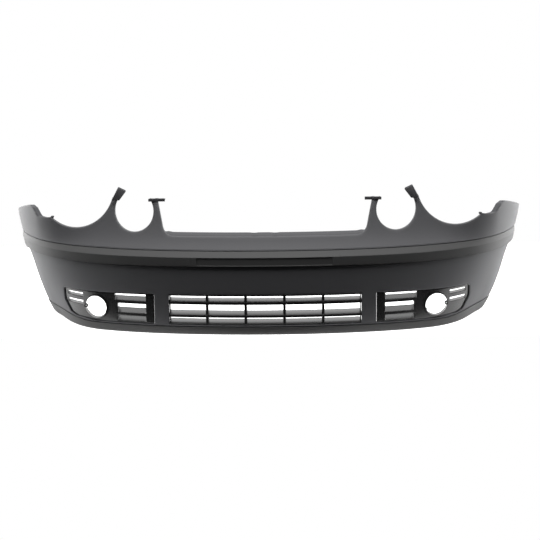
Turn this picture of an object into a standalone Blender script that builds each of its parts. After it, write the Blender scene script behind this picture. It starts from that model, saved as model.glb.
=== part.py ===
"""Front bumper cover of a small hatchback, with its protective strips, grilles, lip and fixings.

Metres, +Z up.  The cover faces -Y, the car's left is +X, and the lip's flat underside stands on z = 0.
The outer skin is one surface: a plan curve, seen from above, whose heading turns slowly over the
front and quickly round the corner, and a section that moves that curve outwards or inwards with
height.  Every piece that follows the skin is lofted from the same curve and the same section.
"""

import math

import bmesh
import bpy
import numpy as np
from mathutils import Euler, Vector

# --- overall sizes
OVERALL_WIDTH = 1.638
OVERALL_DEPTH = 0.560
WALL = 0.003

# --- plan curve: heading in degrees along the nominal arc length, before it is fitted to the sizes
CROWN_TURN = 30.7
CORNER_TURN = 51.7
CORNER_AT = 0.69
CORNER_SPREAD = 0.127
REAR_AT = 1.09
CURVE_END = 1.16

# --- heights of the section
LIP_TOP_FRONT = 0.0245
LIP_TOP_SIDE = 0.0355
OPENING_TOP = 0.1195
STRIP_BOTTOM = 0.2045
STRIP_FACE_TOP = 0.2332
STRIP_SEAM = 0.2500
NOTCH_FLOOR = 0.2865
ARM_TOP = 0.392
TAB_TOP = 0.4235
ARM_TAB_HALF = 0.025
ARM_TAB_DEPTH = 0.022
LAMP_TAB_SLANT = 0.014
LAMP_TAB_WIDTH = 0.026
LAMP_TAB_FALL = 0.010

# --- section: how far the skin lies behind the strip's face
LOWER_RECESS = 0.006
LOWER_LEAN = 0.020
SEAM_RECESS = 0.020
SIDE_RECESS = 0.004
COVE_DEPTH = 0.028
COVE_HEIGHT = 0.030
UPPER_LEAN = 0.36
SIDE_TUCK = 0.0665
TUCK_TOP = 0.243
WING_FLARE = 0.031
FRONT_END = 0.5035
SIDE_START = 0.822

# --- strip and its channel
CHANNEL_DEPTH = 0.0065
STRIP_WALL = 0.0025
STRIP_GAP = 0.0008
EDGE = 0.0005
BUTT_GAP = 0.0006
STRIP_JOINT = 0.222
STRIP_END_BACK = 0.012
PLATE_HALF_WIDTH = 0.2010
PLATE_DEPTH = 0.0022
STUD_RADIUS = 0.0024
STUD_HOLE_CLEARANCE = 0.0008
CENTRE_STUDS = (-0.17, -0.06, 0.06, 0.17)
SIDE_STUDS = (0.34, 0.56, 0.84)

# --- lip under the cover
LIP_WALL = 0.003
LIP_GAP = 0.0009
LIP_PROUD = 0.0015
LIP_SEAM = 0.0022
LIP_SEAT = LIP_WALL + LIP_GAP - LIP_PROUD
FOOT_DEPTH = 0.036
FOOT_BEND = 0.007
RIVET_INSET = 0.022
RIVET_SHANK = 0.003
RIVET_HEAD = 0.0075
RIVET_DOME = 0.0028
RIVET_CLEARANCE = 0.0003
RIVETS_AT = (-0.72, -0.48, -0.24, 0.0, 0.24, 0.48, 0.72)

# --- openings
RETURN_DEPTH = 0.016
CENTRE_OPENING_HALF = 0.286
PILLAR = 0.044
SIDE_OPENING_END = 0.622
SIDE_OPENING_FOOT = 0.580
OPENING_CORNER = 0.004
NOTCH_HALF = 0.299
NOTCH_SPREAD = 0.22
NOTCH_CORNER = 0.034
SHELF_DEPTH = 0.030
SHELF_RISE = 0.010
INNER_LAMP = (0.394, 0.3555)
INNER_LAMP_RADIUS = 0.0600
OUTER_LAMP = (0.585, 0.4257)
OUTER_LAMP_RADIUS = 0.1264

# --- wings and wheel arches, in (distance behind the nose, height)
LAMP_CORNER_X = 0.664
LAMP_CORNER_Z = 0.3285
WING_DIP_Z = 0.3215
WING_PEAK_Z = 0.351
WING_CORNER_Z = 0.310
ARCH_RADIUS = 0.335
ARCH_CENTRE_Z = 0.125
ARCH_FOOT_Z = 0.075
HEEL_BACK = 0.165

# --- grilles
GRILLE_GAP = 0.0010
GRILLE_SETBACK = 0.004
GRILLE_DEPTH = 0.034
GRILLE_FRAME = 0.0030
SLAT = 0.0110
SLAT_RISE = 0.006
SLAT_HEIGHTS = (0.0985, 0.0600)
RIB = 0.009
RIBS_AT = (-0.172, -0.057, 0.057, 0.172)
FOG_CENTRE = (0.5135, 0.0690)
FOG_RADIUS = 0.0340
FOG_COLLAR = 0.0050

# --- clips
CLIP_RADIUS = 0.0085
CLIP_HEIGHT = 0.002
CLIP_GAP = 0.0010
TOUCH = 0.0003
NUT_PLATE = 0.0010
NUT_LENGTH = 0.013
NUT_WIDTH = 0.014
NUT_GAP = 0.0006
NUT_HOLE = 0.0030
NUT_SEAT = 0.0060
WING_NUTS_BEHIND_PEAK = (0.0600, 0.1300)
WING_PEAK_BACK = 0.115

COLUMNS = 48
LOWER_ROWS = (0.070, OPENING_TOP, 0.165)
UPPER_ROWS = (0.257, 0.267, NOTCH_FLOOR, 0.312, 0.350, ARM_TOP)
SLAB_TOP = TAB_TOP + 0.013
FAR = 1.0


# ---------------------------------------------------------------- curve and section

def blend(start, end, value):
    """0 before start, 1 after end, and a smooth step between them."""
    share = min(max((value - start) / (end - start), 0.0), 1.0)
    return share * share * (3 - 2 * share)


def heading(along):
    """Direction of the nominal plan curve at an arc length, in radians from +X."""
    corner = 1 / (1 + math.exp(-(along - CORNER_AT) / CORNER_SPREAD))
    at_nose = 1 / (1 + math.exp(CORNER_AT / CORNER_SPREAD))
    return math.radians(CROWN_TURN * along + CORNER_TURN * (corner - at_nose))


def plan_curve(steps=580):
    """Arc lengths, x and y of the half curve, fitted to the overall width and depth."""
    along = np.linspace(0, CURVE_END, steps + 1)
    turn = np.array([heading(a) for a in (along[1:] + along[:-1]) / 2])
    x = np.concatenate([[0], np.cumsum(np.cos(turn) * np.diff(along))])
    y = np.concatenate([[0], np.cumsum(np.sin(turn) * np.diff(along))])
    half_width = OVERALL_WIDTH / 2 - WING_FLARE + SIDE_RECESS
    x *= half_width / np.interp(REAR_AT, along, x)
    y *= OVERALL_DEPTH / np.interp(REAR_AT, along, y)
    return along, x, y - OVERALL_DEPTH / 2


ALONG, PLAN_X, PLAN_Y = plan_curve()
SLOPE = np.arctan2(np.gradient(PLAN_Y), np.gradient(PLAN_X))


def from_nose(distance):
    """The y of a point this far behind the nose."""
    return distance - OVERALL_DEPTH / 2


def at_x(x):
    """Where along the curve, signed, it has this x."""
    return math.copysign(float(np.interp(abs(x), PLAN_X, ALONG)), x)


def at_y(y):
    """Where along the left half of the curve it has this y."""
    return float(np.interp(y, PLAN_Y, ALONG))


def outward(along):
    """Unit vector square to the curve, pointing away from the car."""
    slope = float(np.interp(abs(along), ALONG, SLOPE))
    return Vector((math.copysign(math.sin(slope), along), -math.cos(slope), 0))


def surface(along, out, z):
    """The point this far outward of the plan curve at this height."""
    x = math.copysign(float(np.interp(abs(along), ALONG, PLAN_X)), along)
    y = float(np.interp(abs(along), ALONG, PLAN_Y))
    return Vector((x, y, z)) + outward(along) * (out + flare(along, z))


def side_share(along):
    return blend(FRONT_END, SIDE_START, abs(along))


def flare(along, z):
    """The wing turns out over the wheel arch."""
    return WING_FLARE * blend(0.75, REAR_AT, abs(along)) * blend(0.14, 0.34, z)


def seam_out(along):
    share = side_share(along)
    return -(SEAM_RECESS * (1 - share) + SIDE_RECESS * share)


def lower_out(along, z):
    share = side_share(along)
    front = LOWER_RECESS + LOWER_LEAN * (STRIP_BOTTOM - z)
    side = SIDE_RECESS + SIDE_TUCK * (max(TUCK_TOP - z, 0) / TUCK_TOP) ** 1.5
    return -(front * (1 - share) + side * share)


def upper_out(along, z):
    share = side_share(along)
    up = max(z - STRIP_SEAM, 0)
    front = SEAM_RECESS + COVE_DEPTH * (1 - math.exp(-up / COVE_HEIGHT)) + UPPER_LEAN * up
    return -(front * (1 - share) + SIDE_RECESS * share)


def skin_out(along, z):
    """Outer face of the cover, without the strip's channel."""
    return lower_out(along, z) if z < STRIP_SEAM else upper_out(along, z)


def lip_top(along):
    return LIP_TOP_FRONT + (LIP_TOP_SIDE - LIP_TOP_FRONT) * blend(0.55, 0.75, abs(along))


# ---------------------------------------------------------------- sections, from foot to top

def cover_section(along):
    foot = lower_out(along, 0)
    under = LIP_WALL + LIP_GAP
    lip = lip_top(along)
    floor = seam_out(along) - CHANNEL_DEPTH
    rows = [(foot - FOOT_DEPTH, under), (foot - LIP_SEAT - 2 * WALL, under)]
    heights = (FOOT_BEND + WALL + LIP_GAP, lip / 2 + FOOT_BEND / 2, lip - EDGE)
    rows += [(lower_out(along, z) - LIP_SEAT, z) for z in heights]
    rows += [(lower_out(along, lip), lip + EDGE)]
    rows += [(lower_out(along, z), z) for z in LOWER_ROWS]
    rows += [(lower_out(along, STRIP_BOTTOM), STRIP_BOTTOM - EDGE), (floor, STRIP_BOTTOM + EDGE)]
    rows += [(floor, STRIP_SEAM - EDGE)]
    heights = (STRIP_SEAM + EDGE,) + UPPER_ROWS + (TAB_TOP + 0.01,)
    return rows + [(upper_out(along, z), z) for z in heights]


def slab_section(along, inset):
    """A face just behind the cover's outer one, which the turned-in edges are cut from."""
    lip = lip_top(along)
    rows = [(lower_out(along, z) - inset - LIP_SEAT, z) for z in (2 * FOOT_BEND, lip - EDGE)]
    heights = (lip + WALL,) + LOWER_ROWS + (STRIP_SEAM,) + UPPER_ROWS
    rows += [(skin_out(along, z) - inset, z) for z in heights]
    return rows + [(skin_out(along, SLAB_TOP) - inset, SLAB_TOP + inset)]


def lip_section(along):
    foot = lower_out(along, 0) + LIP_PROUD
    top = lip_top(along) - LIP_SEAM
    rows = [(foot - FOOT_DEPTH - LIP_PROUD, 0), (foot - 1.5 * LIP_WALL, 0)]
    heights = (FOOT_BEND, lip_top(along) / 2 + FOOT_BEND / 2, top)
    return rows + [(lower_out(along, z) + LIP_PROUD, z) for z in heights]


def strip_section(along, recess=0.0):
    bottom = STRIP_BOTTOM + EDGE + STRIP_GAP
    top = STRIP_SEAM - EDGE - STRIP_GAP
    rows = [(-0.009, bottom), (-0.001, bottom), (0, bottom + 0.001), (0, bottom + 0.0025)]
    rows += [(-recess, bottom + 0.0030), (-recess, STRIP_FACE_TOP - 0.002)]
    rows += [(0, STRIP_FACE_TOP - 0.0015), (-0.001, STRIP_FACE_TOP)]
    return rows + [(seam_out(along) - STRIP_GAP / 2, top)]


# ---------------------------------------------------------------- mesh helpers

def collection(name):
    made = bpy.data.collections.new(name)
    bpy.context.scene.collection.children.link(made)
    return made


def material(name, colour, roughness, metallic=0.0):
    made = bpy.data.materials.new(name)
    made.use_nodes = True
    shader = made.node_tree.nodes["Principled BSDF"]
    shader.inputs["Base Color"].default_value = (*colour, 1)
    shader.inputs["Roughness"].default_value = roughness
    shader.inputs["Metallic"].default_value = metallic
    return made


def add_object(name, bm, finish=None):
    """An object from a bmesh: a part with a material, or a hidden cutter without one."""
    mesh = bpy.data.meshes.new(name)
    bm.to_mesh(mesh)
    bm.free()
    made = bpy.data.objects.new(name, mesh)
    if finish is None:
        CUTTERS.objects.link(made)
        made.hide_render = True
        made.display_type = "WIRE"
        return made
    PARTS.objects.link(made)
    mesh.materials.append(finish)
    mesh.shade_smooth()
    mesh.set_sharp_from_angle(angle=math.radians(35))
    return made


def sheet(section, alongs):
    """A grid lofted along the curve: one row for each point of the section."""
    rows = len(section(0.0))
    bm = bmesh.new()
    bmesh.ops.create_grid(bm, x_segments=len(alongs) - 1, y_segments=rows - 1, size=1)
    for vert in bm.verts:
        along = alongs[round((vert.co.x + 1) / 2 * (len(alongs) - 1))]
        out, z = section(along)[round((vert.co.y + 1) / 2 * (rows - 1))]
        vert.co = surface(along, out, z)
    return bm


def spaced(start, end, count):
    return [float(v) for v in np.linspace(start, end, count + 1)]


def solidify(made, thickness, even=True):
    wall = made.modifiers.new("wall", "SOLIDIFY")
    wall.thickness = thickness
    wall.offset = -1
    wall.use_even_offset = even


def boolean(made, operation, other):
    """Joins or cuts.  The lofts lie within a millimetre of each other, where EXACT drops faces."""
    cut = made.modifiers.new(other.name, "BOOLEAN")
    cut.operation = operation
    cut.object = other
    cut.solver = "MANIFOLD"


def add_prism(bm, outline, axis, low, high):
    """A flat outline pushed along an axis; its points are on the other two axes, in order."""
    order = {"X": (2, 0, 1), "Y": (0, 2, 1), "Z": (0, 1, 2)}[axis]
    corners = [(a, b, low) for a, b in outline]
    verts = [bm.verts.new([corner[i] for i in order]) for corner in corners]
    pushed = bmesh.ops.extrude_face_region(bm, geom=[bm.faces.new(verts)], use_keep_orig=True)["geom"]
    move = Vector([(0, 0, high - low)[i] for i in order])
    moved = [item for item in pushed if isinstance(item, bmesh.types.BMVert)]
    bmesh.ops.translate(bm, verts=moved, vec=move)


def prisms(name, axis, spans, outlines, finish=None):
    """One mesh with every outline pushed through every span."""
    bm = bmesh.new()
    for low, high in spans:
        for outline in outlines:
            add_prism(bm, outline, axis, low, high)
    bmesh.ops.recalc_face_normals(bm, faces=bm.faces)
    return add_object(name, bm, finish)


def add_rod(bm, start, end, radius, segments=8):
    made = bmesh.ops.create_cone(
        bm, cap_ends=True, segments=segments, radius1=radius, radius2=radius, depth=(end - start).length
    )
    turn = (end - start).to_track_quat("Z", "Y").to_matrix()
    bmesh.ops.rotate(bm, verts=made["verts"], cent=(0, 0, 0), matrix=turn)
    bmesh.ops.translate(bm, verts=made["verts"], vec=(start + end) / 2)


def turned(name, profile, place, axis, finish, steps=10):
    """A turned piece: its profile runs down its outer side, and its +Z points along axis."""
    bm = bmesh.new()
    verts = [bm.verts.new((radius, 0, z)) for radius, z in profile]
    for first, second in zip(verts, verts[1:]):
        bm.edges.new((first, second))
    if profile[0][0] > 0:
        bm.edges.new((verts[-1], verts[0]))
    made = add_object(name, bm, finish)
    made.location = place
    made.rotation_euler = axis.to_track_quat("Z", "Y").to_euler()
    spin = made.modifiers.new("turned", "SCREW")
    spin.steps = spin.render_steps = steps
    spin.use_merge_vertices = True
    spin.merge_threshold = 0.00001
    return made


def mirrored(outline):
    return [(-a, b) for a, b in reversed(outline)]


def circle(centre, radius, segments=36):
    turns = [2 * math.pi * i / segments for i in range(segments)]
    return [(centre[0] + radius * math.cos(t), centre[1] + radius * math.sin(t)) for t in turns]


def filleted(points, radii, segments=5):
    """A closed outline whose corners are arcs of the given radii."""
    outline = []
    for i, radius in enumerate(radii):
        corner = Vector(points[i])
        back = (Vector(points[i - 1]) - corner).normalized()
        ahead = (Vector(points[(i + 1) % len(points)]) - corner).normalized()
        half = back.angle(ahead) / 2
        if radius <= 0 or half > math.radians(89):
            outline.append(tuple(corner))
            continue
        centre = corner + (back + ahead).normalized() * radius / math.sin(half)
        start = corner + back * radius / math.tan(half) - centre
        end = corner + ahead * radius / math.tan(half) - centre
        for j in range(segments + 1):
            outline.append(tuple(centre + start.slerp(end, j / segments).normalized() * radius))
    return outline


def grown(points, distance):
    """A closed counter-clockwise outline moved outwards by a distance."""
    moved = []
    for i, point in enumerate(points):
        corner = Vector(point)
        before = (corner - Vector(points[i - 1])).normalized()
        after = (Vector(points[(i + 1) % len(points)]) - corner).normalized()
        normal = Vector((before.y, -before.x)) + Vector((after.y, -after.x))
        moved.append(tuple(corner + normal * distance / (0.5 * normal.length_squared)))
    return moved


# ---------------------------------------------------------------- outlines

def notch_outline(grow=0.0):
    """The upper grille's notch between the inner arms, open at the top."""
    top = 0.6
    spread = NOTCH_SPREAD * (top - NOTCH_FLOOR)
    half, floor = NOTCH_HALF + grow, NOTCH_FLOOR - grow
    points = [(-half, floor), (half, floor), (half + spread, top), (-half - spread, top)]
    return filleted(points, (NOTCH_CORNER + grow, NOTCH_CORNER + grow, 0, 0), 8)


def sky_outline():
    """What lies above the left arms: it leaves the slanted tab at the outer arm's top."""
    shoulder = OUTER_LAMP[0] - OUTER_LAMP_RADIUS
    root = ARM_TOP - 0.001
    tip = shoulder - LAMP_TAB_SLANT
    tab = [(shoulder + 0.0035, root), (tip, TAB_TOP), (tip - LAMP_TAB_WIDTH, TAB_TOP - LAMP_TAB_FALL)]
    right = [(OUTER_LAMP[0], root), (OUTER_LAMP[0], 0.6)]
    return [(-0.01, 0.6), (-0.01, ARM_TOP), (shoulder - 0.021, ARM_TOP)] + tab[::-1] + right


def centre_opening(grow=0.0):
    low = LIP_TOP_FRONT + WALL
    half = CENTRE_OPENING_HALF + grow
    top = OPENING_TOP + grow
    points = [(-half, low - grow), (half, low - grow), (half, top), (-half, top)]
    return filleted(points, (OPENING_CORNER + grow,) * 4, 3)


def side_opening(grow=0.0):
    """The left side opening: its foot follows the lip's top edge."""
    inner = CENTRE_OPENING_HALF + PILLAR
    low = LIP_TOP_FRONT + WALL
    high = LIP_TOP_SIDE + WALL
    points = [(inner, low), (SIDE_OPENING_FOOT - 0.10, low), (SIDE_OPENING_FOOT, low + 0.004)]
    points += [(SIDE_OPENING_FOOT + 0.020, high), (SIDE_OPENING_END, 0.076)]
    points += [(SIDE_OPENING_END, OPENING_TOP - 0.0045), (inner, OPENING_TOP)]
    radii = [OPENING_CORNER, 0.08, 0.03, 0.012, 0.03, 0.006, OPENING_CORNER]
    return filleted(grown(points, grow), [max(radius + grow, 0.001) for radius in radii], 3)


def wing_outline(grow=0.0):
    """In (y, z): all that lies above the wing's top edge, behind the arch and under the heel."""
    corner = surface(at_x(LAMP_CORNER_X), upper_out(at_x(LAMP_CORNER_X), LAMP_CORNER_Z), 0).y
    rear = from_nose(OVERALL_DEPTH)
    rise = math.asin((WING_CORNER_Z - ARCH_CENTRE_Z) / ARCH_RADIUS)
    fall = math.asin((ARCH_FOOT_Z - ARCH_CENTRE_Z) / ARCH_RADIUS)
    centre = rear + ARCH_RADIUS * math.cos(rise)
    turns = spaced(rise, fall, 10)
    arch = [(centre - ARCH_RADIUS * math.cos(t), ARCH_CENTRE_Z + ARCH_RADIUS * math.sin(t)) for t in turns]
    heel = rear - HEEL_BACK
    top = [(corner - 0.03, 0.6), (corner - 0.03, LAMP_CORNER_Z + 0.001), (corner, LAMP_CORNER_Z)]
    top += [(corner + 0.032, WING_DIP_Z), (corner + 0.060, WING_DIP_Z + 0.001)]
    top += [(corner + 0.088, WING_PEAK_Z - 0.006), (corner + WING_PEAK_BACK, WING_PEAK_Z)]
    foot = [(heel, 0.006), (heel - 0.03, -0.002), (heel - 0.04, -0.05), (FAR, -0.05), (FAR, 0.6)]
    points = top + arch + foot
    radii = [0, 0, 0.02, 0.03, 0.02, 0.02, 0.02, 0.006] + [0] * 9 + [0.03, 0.03, 0.02, 0, 0, 0]
    return filleted(grown(points, grow), radii, 3)


def rivet_points():
    """Where the lip's foot is fixed to the cover's foot."""
    return [surface(a, lower_out(a, 0) - RIVET_INSET, 0) for a in RIVETS_AT]


def studs():
    """Each strip stud: strip name, place along the curve, and how deep its face lies there."""
    centre = [("centre", at_x(x), PLATE_DEPTH) for x in CENTRE_STUDS]
    left = [("left", at_x(x) if x < 0.6 else x, 0.0) for x in SIDE_STUDS]
    return centre + left + [("right", -a, deep) for _, a, deep in left]


def stud_height():
    return (STRIP_BOTTOM + STRIP_FACE_TOP) / 2 + 0.003


def channel_back(along):
    return seam_out(along) - CHANNEL_DEPTH - WALL


# ---------------------------------------------------------------- cutters

def front_cutter(name, grow):
    outlines = [notch_outline(grow), centre_opening(grow)]
    lamps = [circle(INNER_LAMP, INNER_LAMP_RADIUS + grow), circle(OUTER_LAMP, OUTER_LAMP_RADIUS + grow, 52)]
    for outline in lamps + [side_opening(grow)]:
        outlines += [outline, mirrored(outline)]
    return prisms(name, "Y", [(from_nose(-0.1), from_nose(0.30))], outlines)


def wing_cutter(name, grow):
    return prisms(name, "X", [(-FAR, -0.5), (0.5, FAR)], [wing_outline(grow)])


def returns(name, inset, shape):
    """The flange that turns in round an edge: the slab behind the skin, inside a grown cutter."""
    columns = spaced(-CURVE_END, CURVE_END, COLUMNS)
    columns[0] += inset
    columns[-1] -= inset
    bm = sheet(lambda along: slab_section(along, inset), columns)
    made = add_object(name, bm)
    solidify(made, RETURN_DEPTH)
    boolean(made, "INTERSECT", shape)
    return made


def hole_cutter():
    """Stud holes in the channel, rivet holes in the foot and screw holes in the tabs and wings."""
    bm = bmesh.new()
    for _, along, _ in studs():
        near = surface(along, channel_back(along) + 2 * WALL, stud_height())
        far = surface(along, channel_back(along) - WALL, stud_height())
        add_rod(bm, near, far, STUD_RADIUS + STUD_HOLE_CLEARANCE)
    for point in rivet_points():
        add_rod(bm, point - Vector((0, 0, 0.01)), point + Vector((0, 0, 0.02)), RIVET_SHANK + RIVET_CLEARANCE)
    for side in (-1, 1):
        hole = tab_centre(side) + Vector((0, 0.010, 0))
        add_rod(bm, hole - Vector((0, 0, 0.02)), hole + Vector((0, 0, 0.02)), NUT_HOLE)
        for place, tilt in wing_nuts(side):
            up = Euler((tilt, 0, 0)).to_matrix() @ Vector((0, 0, 0.012))
            add_rod(bm, place - up, place + up, NUT_HOLE)
    return add_object("hole_cutter", bm)


def shelf_cutter():
    """Two dips in the shelf's rear edge, either side of the bonnet catch."""
    rear = surface(0, upper_out(0, NOTCH_FLOOR) - SHELF_DEPTH, 0).y
    dips = [circle((x, rear + 0.006), 0.014, 20) for x in (-0.031, 0.031)]
    return prisms("shelf_cutter", "Z", [(NOTCH_FLOOR - 0.02, NOTCH_FLOOR + 0.04)], dips)


# ---------------------------------------------------------------- cover details

def shelf():
    """The flange that runs back and up from the notch's floor."""
    half = at_x(NOTCH_HALF - NOTCH_CORNER + 0.006)

    def section(along):
        out = upper_out(along, NOTCH_FLOOR)
        return [(out - WALL / 2, NOTCH_FLOOR), (out - SHELF_DEPTH, NOTCH_FLOOR + SHELF_RISE)]

    made = add_object("shelf", sheet(section, spaced(-half, half, 16)))
    solidify(made, -WALL * 0.8)
    return made


def tab_centre(side):
    """The middle of an inner arm's tab, on its upper face."""
    x = side * (NOTCH_HALF + NOTCH_SPREAD * (ARM_TOP - NOTCH_FLOOR) + 0.002)
    y = surface(at_x(x), upper_out(at_x(x), ARM_TOP), 0).y
    return Vector((x, y + WALL, ARM_TOP))


def arm_tabs():
    """The two T-shaped tabs on the inner arms, which the headlamps' frames are screwed to."""
    bm = bmesh.new()
    for side in (-1, 1):
        centre = tab_centre(side)
        low, high = centre.x - ARM_TAB_HALF, centre.x + ARM_TAB_HALF
        depth = (centre.y - WALL, centre.y + ARM_TAB_DEPTH)
        plate = [(low, depth[0]), (high, depth[0]), (high, depth[1]), (low, depth[1])]
        add_prism(bm, plate, "Z", ARM_TOP - WALL, ARM_TOP)
    bmesh.ops.recalc_face_normals(bm, faces=bm.faces)
    return add_object("arm_tabs", bm)


def wing_flange_edge(y, z):
    """The x of the left wing flange's inner edge at this y and height."""
    near, far = at_x(LAMP_CORNER_X), CURVE_END
    for _ in range(40):
        along = (near + far) / 2
        edge = surface(along, skin_out(along, z) - RETURN_DEPTH, 0)
        near, far = (along, far) if edge.y < y else (near, along)
    return edge.x


def wing_nuts(side):
    """Place and tilt of each spring nut on a wing's top flange."""
    corner = surface(at_x(LAMP_CORNER_X), upper_out(at_x(LAMP_CORNER_X), LAMP_CORNER_Z), 0).y
    start = Vector((corner + WING_PEAK_BACK, WING_PEAK_Z))
    end = Vector((from_nose(OVERALL_DEPTH), WING_CORNER_Z))
    tilt = math.atan2(end.y - start.y, end.x - start.x)
    places = []
    for distance in WING_NUTS_BEHIND_PEAK:
        y = start.x + distance
        z = start.y + (end.y - start.y) * (y - start.x) / (end.x - start.x)
        x = side * (wing_flange_edge(y, z) + NUT_SEAT)
        middle = Vector((x, y, z)) - Vector((0, -math.sin(tilt), math.cos(tilt))) * WALL / 2
        places.append((middle, tilt))
    return places


def bumper_cover():
    cover = add_object("bumper_cover", sheet(cover_section, spaced(-CURVE_END, CURVE_END, COLUMNS)), PAINT)
    solidify(cover, WALL)
    boolean(cover, "UNION", returns("front_returns", WALL / 3, front_cutter("front_shape", WALL)))
    boolean(cover, "UNION", returns("wing_returns", WALL / 2, wing_cutter("wing_shape", WALL)))
    boolean(cover, "UNION", shelf())
    boolean(cover, "DIFFERENCE", front_cutter("front_cutter", 0))
    sky = sky_outline()
    boolean(cover, "DIFFERENCE", prisms("sky_cutter", "Y", [(from_nose(0), from_nose(0.28))], [sky]))
    other = prisms("sky_cutter_right", "Y", [(from_nose(0), from_nose(0.28))], [mirrored(sky)])
    boolean(cover, "DIFFERENCE", other)
    boolean(cover, "DIFFERENCE", wing_cutter("wing_cutter", 0))
    boolean(cover, "UNION", arm_tabs())
    boolean(cover, "DIFFERENCE", shelf_cutter())
    boolean(cover, "DIFFERENCE", hole_cutter())


def lower_lip():
    lip = add_object("lower_lip", sheet(lip_section, spaced(-CURVE_END, CURVE_END, COLUMNS)), GRAINED)
    solidify(lip, LIP_WALL)
    boolean(lip, "DIFFERENCE", bpy.data.objects["wing_cutter"])
    boolean(lip, "DIFFERENCE", bpy.data.objects["hole_cutter"])


# ---------------------------------------------------------------- strips

def strip(name, alongs, recessed):
    """A protective strip: a hollow bar with studs behind it, clipped through the channel."""
    def section(along):
        plate = abs(surface(along, 0, 0).x) < PLATE_HALF_WIDTH + EDGE
        return strip_section(along, PLATE_DEPTH if recessed and plate else 0.0)

    bar = add_object(f"bump_strip_{name}", sheet(section, alongs), GRAINED)
    solidify(bar, STRIP_WALL)
    bm = bmesh.new()
    for owner, along, deep in studs():
        if owner != name:
            continue
        near = surface(along, -deep - STRIP_WALL / 2, stud_height())
        far = surface(along, channel_back(along) - CLIP_GAP - CLIP_HEIGHT - 0.001, stud_height())
        add_rod(bm, near, far, STUD_RADIUS)
    boolean(bar, "UNION", add_object(f"studs_{name}", bm))


def strips():
    joint = at_x(STRIP_JOINT)
    plate = at_x(PLATE_HALF_WIDTH)
    end = at_y(from_nose(OVERALL_DEPTH - STRIP_END_BACK - 0.045))
    middle = spaced(-plate, plate, 10)
    steps = [-joint, -plate - 2 * EDGE] + middle + [plate + 2 * EDGE, joint]
    strip("centre", steps, True)
    side = spaced(joint + BUTT_GAP, end, 16)
    strip("left", side, False)
    strip("right", [-along for along in reversed(side)], False)


def strip_clips():
    """A push-on retainer behind the channel on each stud."""
    counts = {}
    bore = STUD_RADIUS + TOUCH
    ring = [(bore, CLIP_HEIGHT), (CLIP_RADIUS, CLIP_HEIGHT), (CLIP_RADIUS, 0), (bore, 0)]
    for name, along, _ in studs():
        counts[name] = counts.get(name, 0) + 1
        seat = surface(along, channel_back(along) - CLIP_GAP, stud_height())
        turned(f"strip_clip_{name}_{counts[name]}", ring, seat, -outward(along), STEEL)


# ---------------------------------------------------------------- grilles

def grille_band(name, start, end, low, high, columns, finish):
    def section(along):
        return [(lower_out(along, z) - GRILLE_SETBACK, z) for z in (low, OPENING_TOP / 2, high)]

    made = add_object(name, sheet(section, spaced(start, end, columns)), finish)
    solidify(made, GRILLE_DEPTH)
    return made


def add_cell(bm, left, right, low, high, depth):
    """A gap between slats, which rises towards the rear with the slats' upper faces."""
    corners = []
    for y, lift in ((depth[0], 0), (depth[1], SLAT_RISE)):
        corners += [(x, y, z + lift) for x, z in ((left, low), (right, low), (right, high), (left, high))]
    bmesh.ops.convex_hull(bm, input=[bm.verts.new(corner) for corner in corners])


def rows(low, high):
    """The gaps above, between and below the slats, from the frame's foot to its top."""
    edges = [high - GRILLE_FRAME]
    for height in SLAT_HEIGHTS:
        edges += [height + SLAT / 2, height - SLAT / 2]
    edges.append(low + GRILLE_FRAME)
    return list(zip(edges[1::2], edges[0::2]))


def centre_grille():
    low, high = LIP_TOP_FRONT + WALL + GRILLE_GAP, OPENING_TOP - GRILLE_GAP
    half = CENTRE_OPENING_HALF - GRILLE_GAP
    end = at_x(half)
    band = grille_band("centre_grille", -end, end, low, high, 14, GRILLE)
    bm = bmesh.new()
    sides = [x + s * RIB / 2 for x in RIBS_AT for s in (-1, 1)]
    stops = [-half + GRILLE_FRAME] + sides + [half - GRILLE_FRAME]
    for foot, top in rows(low, high):
        for left, right in zip(stops[0::2], stops[1::2]):
            add_cell(bm, left, right, foot, top - SLAT_RISE / 3, (from_nose(-0.01), from_nose(0.11)))
    bmesh.ops.recalc_face_normals(bm, faces=bm.faces)
    boolean(band, "DIFFERENCE", add_object("centre_cells", bm))


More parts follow.
